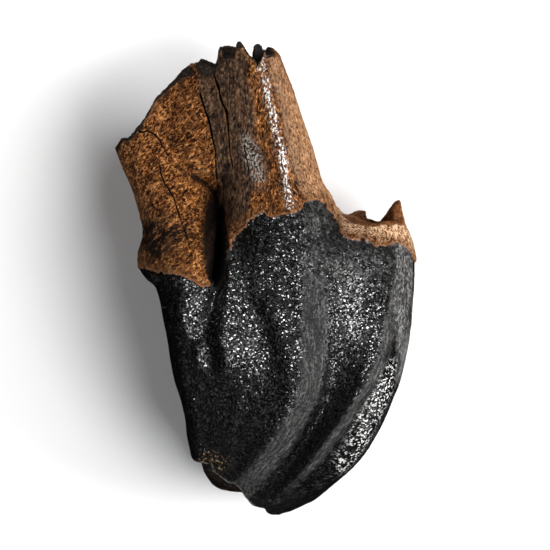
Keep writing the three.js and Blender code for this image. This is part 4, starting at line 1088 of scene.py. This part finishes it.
# painted shade darkens the cementum's hollows, and a painted highlight lightens its crests
cem = blend(rng(a_curve_shade, 0.08, 0.5, 0.0, 0.85), cem, (0.007, 0.0034, 0.0016))
cem = blend(rng(a_curve_shade, -0.10, -0.6, 0.0, 0.45), cem, (0.34, 0.165, 0.070))
skin_r = facets(moved(scaled(place, (1.0, 0.8, 1.0)), warp, 0.9), 2.4, 0.36)
cem_h = add(mul(mott, 0.26), mul(speck, 0.14))
cem_h = add(cem_h, mul(strokes, 0.10))
cem_h = sub(cem_h, mul(hair, 0.12))
cem_h = sub(cem_h, mul(rng(pits, 0.22, 0.0), 0.16))
cem_h = add(cem_h, skin_r)
cem_r = mixf(attr("shiny"), rng(n_mid, 0.35, 0.65, 0.50, 0.70, "LINEAR"), 0.13)

# painted highlight: pale broken specks along the crest of the tall root stand in for its glare, and a darkened patch
# on the grey band gets pale strokes that stand in for its glints
crest = rng(absolute(add(add(a_streak, 0.35), mul(sub(n_mid, 0.5), 2.2))), 1.0, 0.5)
crest = mulall(crest, rng(a_edge, 0.6, 1.6), rng(a_top, 0.5, 0.9), inv(a_left), rng(knots, 0.46, 0.52), rng(speck, 0.45, 0.54), rng(n_mid, 0.36, 0.42))
cem = blend(1.0, cem, (0.80, 0.74, 0.68), "MULTIPLY")
cem = blend(crest, cem, (0.93, 0.90, 0.86))
patch_glare = mul(attr("patch"), rng(a_patch_n, 0.50, 0.56))
cem = blend(mul(attr("patch"), 0.6), cem, (0.008, 0.005, 0.0035))
cem = blend(mul(patch_glare, 0.75), cem, (0.42, 0.39, 0.35))

# ---- broken faces, canals, worn end
brk_c = ramp(n_fine, [(0.3, (0.006, 0.005, 0.005)), (0.55, (0.020, 0.015, 0.012)), (0.8, (0.10, 0.065, 0.04))])
brk_end = ramp(add(mul(n_fine, 0.5), mul(speck, 0.5)), [(0.38, (0.005, 0.0035, 0.003)), (0.48, (0.022, 0.014, 0.010)), (0.56, (0.062, 0.036, 0.021)), (0.66, (0.17, 0.10, 0.058))])
brk_c = blend(rng(a_top, 0.2, 0.5), brk_end, brk_c)
brk_r = ramp(n_fine, [(0.3, (0.05, 0.018, 0.007)), (0.55, (0.19, 0.07, 0.022)), (0.8, (0.34, 0.16, 0.07))])
hol_c = blend(rng(n_fine, 0.35, 0.65), (0.0045, 0.0035, 0.003), (0.030, 0.019, 0.0125))
den_c = ramp(n_mid, [(0.3, (0.0025, 0.0020, 0.0017)), (0.5, (0.0080, 0.0056, 0.0042)), (0.7, (0.030, 0.018, 0.011))])

col_ = blend(is_root, enamel_col, cem)
hgt = mixf(is_root, enamel_h, cem_h)
rgh = mixf(is_root, enamel_r, cem_r)
side_r = rng(attr("streak"), 2.4, 3.4)
col_ = blend(rng(a_broken, 0.3, 0.8), col_, blend(side_r, brk_c, brk_r))
col_ = blend(rng(a_hollow, 0.35, 0.8), col_, blend(rng(a_hright, 0.4, 0.8), hol_c, brk_r))
col_ = blend(rng(a_wear, 0.3, 0.8), col_, den_c)
col_ = blend(mul(rng(a_wear, 0.3, 0.8), rng(a_rim, 0.45, 0.7)), col_, (0.018, 0.012, 0.008))
# painted highlight along the edge of the worn face
col_ = blend(mulall(attr("worn_edge_highlight"), rng(n_fine, 0.40, 0.52)), col_, (0.24, 0.235, 0.225))
chips = mulall(attr("chips"), rng(n_fine, 0.58, 0.64))
col_ = blend(chips, col_, (0.42, 0.27, 0.13))
# painted shade: the cleft between the front roots and a soft band beside it are darkened nearly to black where the
# tall root shades them
cleft_shade_s = rng(add(attr("cleft_shade"), mul(sub(n_mid, 0.5), 0.3)), 0.12, 0.75)
col_ = blend(mul(big(rng(a_cleft, 0.2, 0.8), cleft_shade_s), 0.95), col_, (0.003, 0.0022, 0.0018))
crack_n = mul(a_cw, add(0.55, n_grain))
crack_m = mul(rng(sub(absolute(a_cd), crack_n), -0.04, 0.05, 1.0, 0.0), rng(a_cw, 0.015, 0.05))
col_ = blend(crack_m, col_, (0.003, 0.0025, 0.002))
rgh = mixf(big(crack_m, rng(a_cleft, 0.2, 0.8)), rgh, 1.0)
rgh = mixf(rng(a_hollow, 0.4, 0.8), rgh, 0.85)
hgt = sub(hgt, mul(crack_m, 0.35))

bump = nt.nodes.new("ShaderNodeBump")
bump.inputs["Strength"].default_value = 1.0
bump.inputs["Distance"].default_value = 0.001
feed(bump.inputs["Height"], hgt)
bsdf = nt.nodes.new("ShaderNodeBsdfPrincipled")
feed(bsdf.inputs["Base Color"], col_)
feed(bsdf.inputs["Roughness"], rgh)
bsdf.inputs["Specular IOR Level"].default_value = 0.5
feed(bsdf.inputs["Normal"], bump.outputs[0])
out = nt.nodes.new("ShaderNodeOutputMaterial")
LINK(bsdf.outputs[0], out.inputs[0])
mesh.materials.append(mat)
dull = mat.copy()
dull.name = "fossil_cementum"
for n in dull.node_tree.nodes:
    if n.type == "BSDF_PRINCIPLED":
        n.inputs["Specular IOR Level"].default_value = 0.07
mesh.materials.append(dull)
shiny = (np.abs(x - ridge_x) < 1.7) & (y > 10) & (topside > 0.5)
is_dull = (edge > 0.1) & ~shiny
which = np.array([sum(bool(is_dull[i]) for i in p.vertices) * 2 > len(p.vertices) for p in mesh.polygons])
mesh.polygons.foreach_set("material_index", which.astype(np.int32))

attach(tooth, "root")
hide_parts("tooth")

# ---------------------------------------------------------------- floor, lights, camera
fm = bpy.data.meshes.new("floor")
fm.from_pydata([(-20, -20, 0), (20, -20, 0), (20, 20, 0), (-20, 20, 0)], [], [(0, 1, 2, 3)])
floor = bpy.data.objects.new("floor", fm)
bpy.context.collection.objects.link(floor)
fmat = bpy.data.materials.new("floor_pale")
fmat.use_nodes = True
b = fmat.node_tree.nodes["Principled BSDF"]
b.inputs["Base Color"].default_value = (0.86, 0.86, 0.86, 1)
b.inputs["Roughness"].default_value = 0.9
b.inputs["Specular IOR Level"].default_value = 0.0
fm.materials.append(fmat)

# a white wall far behind everything, seen only by the camera
ring = [(4.2 * math.cos(a), 4.2 * math.sin(a)) for a in np.linspace(0, 2 * math.pi, 65)[:-1]]
wm = bpy.data.meshes.new("backdrop")
wm.from_pydata([(p, q, h) for h in (-0.02, 3.0) for p, q in ring], [], [(i, (i + 1) % 64, 64 + (i + 1) % 64, 64 + i) for i in range(64)])
wall = bpy.data.objects.new("backdrop", wm)
bpy.context.collection.objects.link(wall)
wmat = bpy.data.materials.new("backdrop_white")
wmat.use_nodes = True
b = wmat.node_tree.nodes["Principled BSDF"]
b.inputs["Base Color"].default_value = (0, 0, 0, 1)
b.inputs["Specular IOR Level"].default_value = 0.0
b.inputs["Emission Color"].default_value = (1, 1, 1, 1)
b.inputs["Emission Strength"].default_value = 1.2
wm.materials.append(wmat)
wall.visible_diffuse = False
wall.visible_glossy = False
wall.visible_transmission = False
wall.visible_shadow = False

world = bpy.data.worlds.new("world")
bpy.context.scene.world = world
world.use_nodes = True
world.node_tree.nodes["Background"].inputs[0].default_value = (1, 1, 1, 1)
world.node_tree.nodes["Background"].inputs[1].default_value = 0.05


def area(name, az, el, dist, sx, sy, power, target=(0.002, -0.002, 0.02)):
    d = bpy.data.lights.new(name, "AREA")
    d.shape = "RECTANGLE"
    d.size, d.size_y = sx, sy
    d.energy = power
    o = bpy.data.objects.new(name, d)
    bpy.context.collection.objects.link(o)
    a, e = math.radians(az), math.radians(el)
    t = Vector(target)
    way = Vector((math.cos(a) * math.cos(e), math.sin(a) * math.cos(e), math.sin(e)))
    o.location = t + way * dist
    o.rotation_mode = "QUATERNION"
    o.rotation_quaternion = (-way).to_track_quat("-Z", "Y")
    o.visible_camera = False
    return o


def sun(name, az, el, angle, power):
    d = bpy.data.lights.new(name, "SUN")
    d.energy = power
    d.angle = math.radians(angle)
    o = bpy.data.objects.new(name, d)
    bpy.context.collection.objects.link(o)
    a, e = math.radians(az), math.radians(el)
    way = Vector((math.cos(a) * math.cos(e), math.sin(a) * math.cos(e), math.sin(e)))
    o.rotation_mode = "QUATERNION"
    o.rotation_quaternion = (-way).to_track_quat("-Z", "Y")
    o.location = way
    return o


# dark cards under and beside the tooth, seen only in the gloss
fl = bpy.data.meshes.new("flag")
fl.from_pydata([(-0.6, -0.6, 0.0003), (0.6, -0.6, 0.0003), (0.6, 0.6, 0.0003), (-0.6, 0.6, 0.0003),
                (-0.13, -0.40, 0.0003), (-0.13, 0.40, 0.0003), (-0.20, 0.40, 0.40), (-0.20, -0.40, 0.40)], [], [(0, 1, 2, 3), (4, 5, 6, 7)])
flag = bpy.data.objects.new("flag", fl)
bpy.context.collection.objects.link(flag)
flmat = bpy.data.materials.new("flag_black")
flmat.use_nodes = True
b = flmat.node_tree.nodes["Principled BSDF"]
b.inputs["Base Color"].default_value = (0.004, 0.004, 0.004, 1)
b.inputs["Roughness"].default_value = 1.0
b.inputs["Specular IOR Level"].default_value = 0.0
fl.materials.append(flmat)
flag.visible_camera = False
flag.visible_diffuse = False
flag.visible_shadow = False

# a broad light from the right, made of three, and a weak one from the left
key_a = sun("key_a", -28, 58, 30, 2.2)
key_b = sun("key_b", 22, 58, 40, 1.45)
key_low = sun("key_low", 0, 25, 26, 3.2)
for lamp in (key_a, key_b, key_low):
    lamp.visible_glossy = False
fill = sun("fill", -165, 50, 60, 0.7)
# the same light as the gloss shows it: a smaller, brighter core, and a low strip on the worn side
core = sun("core", -2, 66, 17, 4.3)
core.visible_diffuse = False
halo = sun("halo", -2, 63, 76, 0.9)
halo.visible_diffuse = False
low = area("low_right", -38, 32, 0.5, 0.20, 0.26, 1.8)
low.visible_diffuse = False

cam_d = bpy.data.cameras.new("camera")
cam = bpy.data.objects.new("camera", cam_d)
bpy.context.collection.objects.link(cam)
cam.location = (2.05 * MM, 0.82 * MM, 1.5)
cam_d.sensor_width = 36
cam_d.lens = 36 * (1500 - 22) / 112.75
cam_d.clip_start, cam_d.clip_end = 0.1, 60
bpy.context.scene.camera = cam
bpy.context.scene.view_settings.view_transform = "Standard"
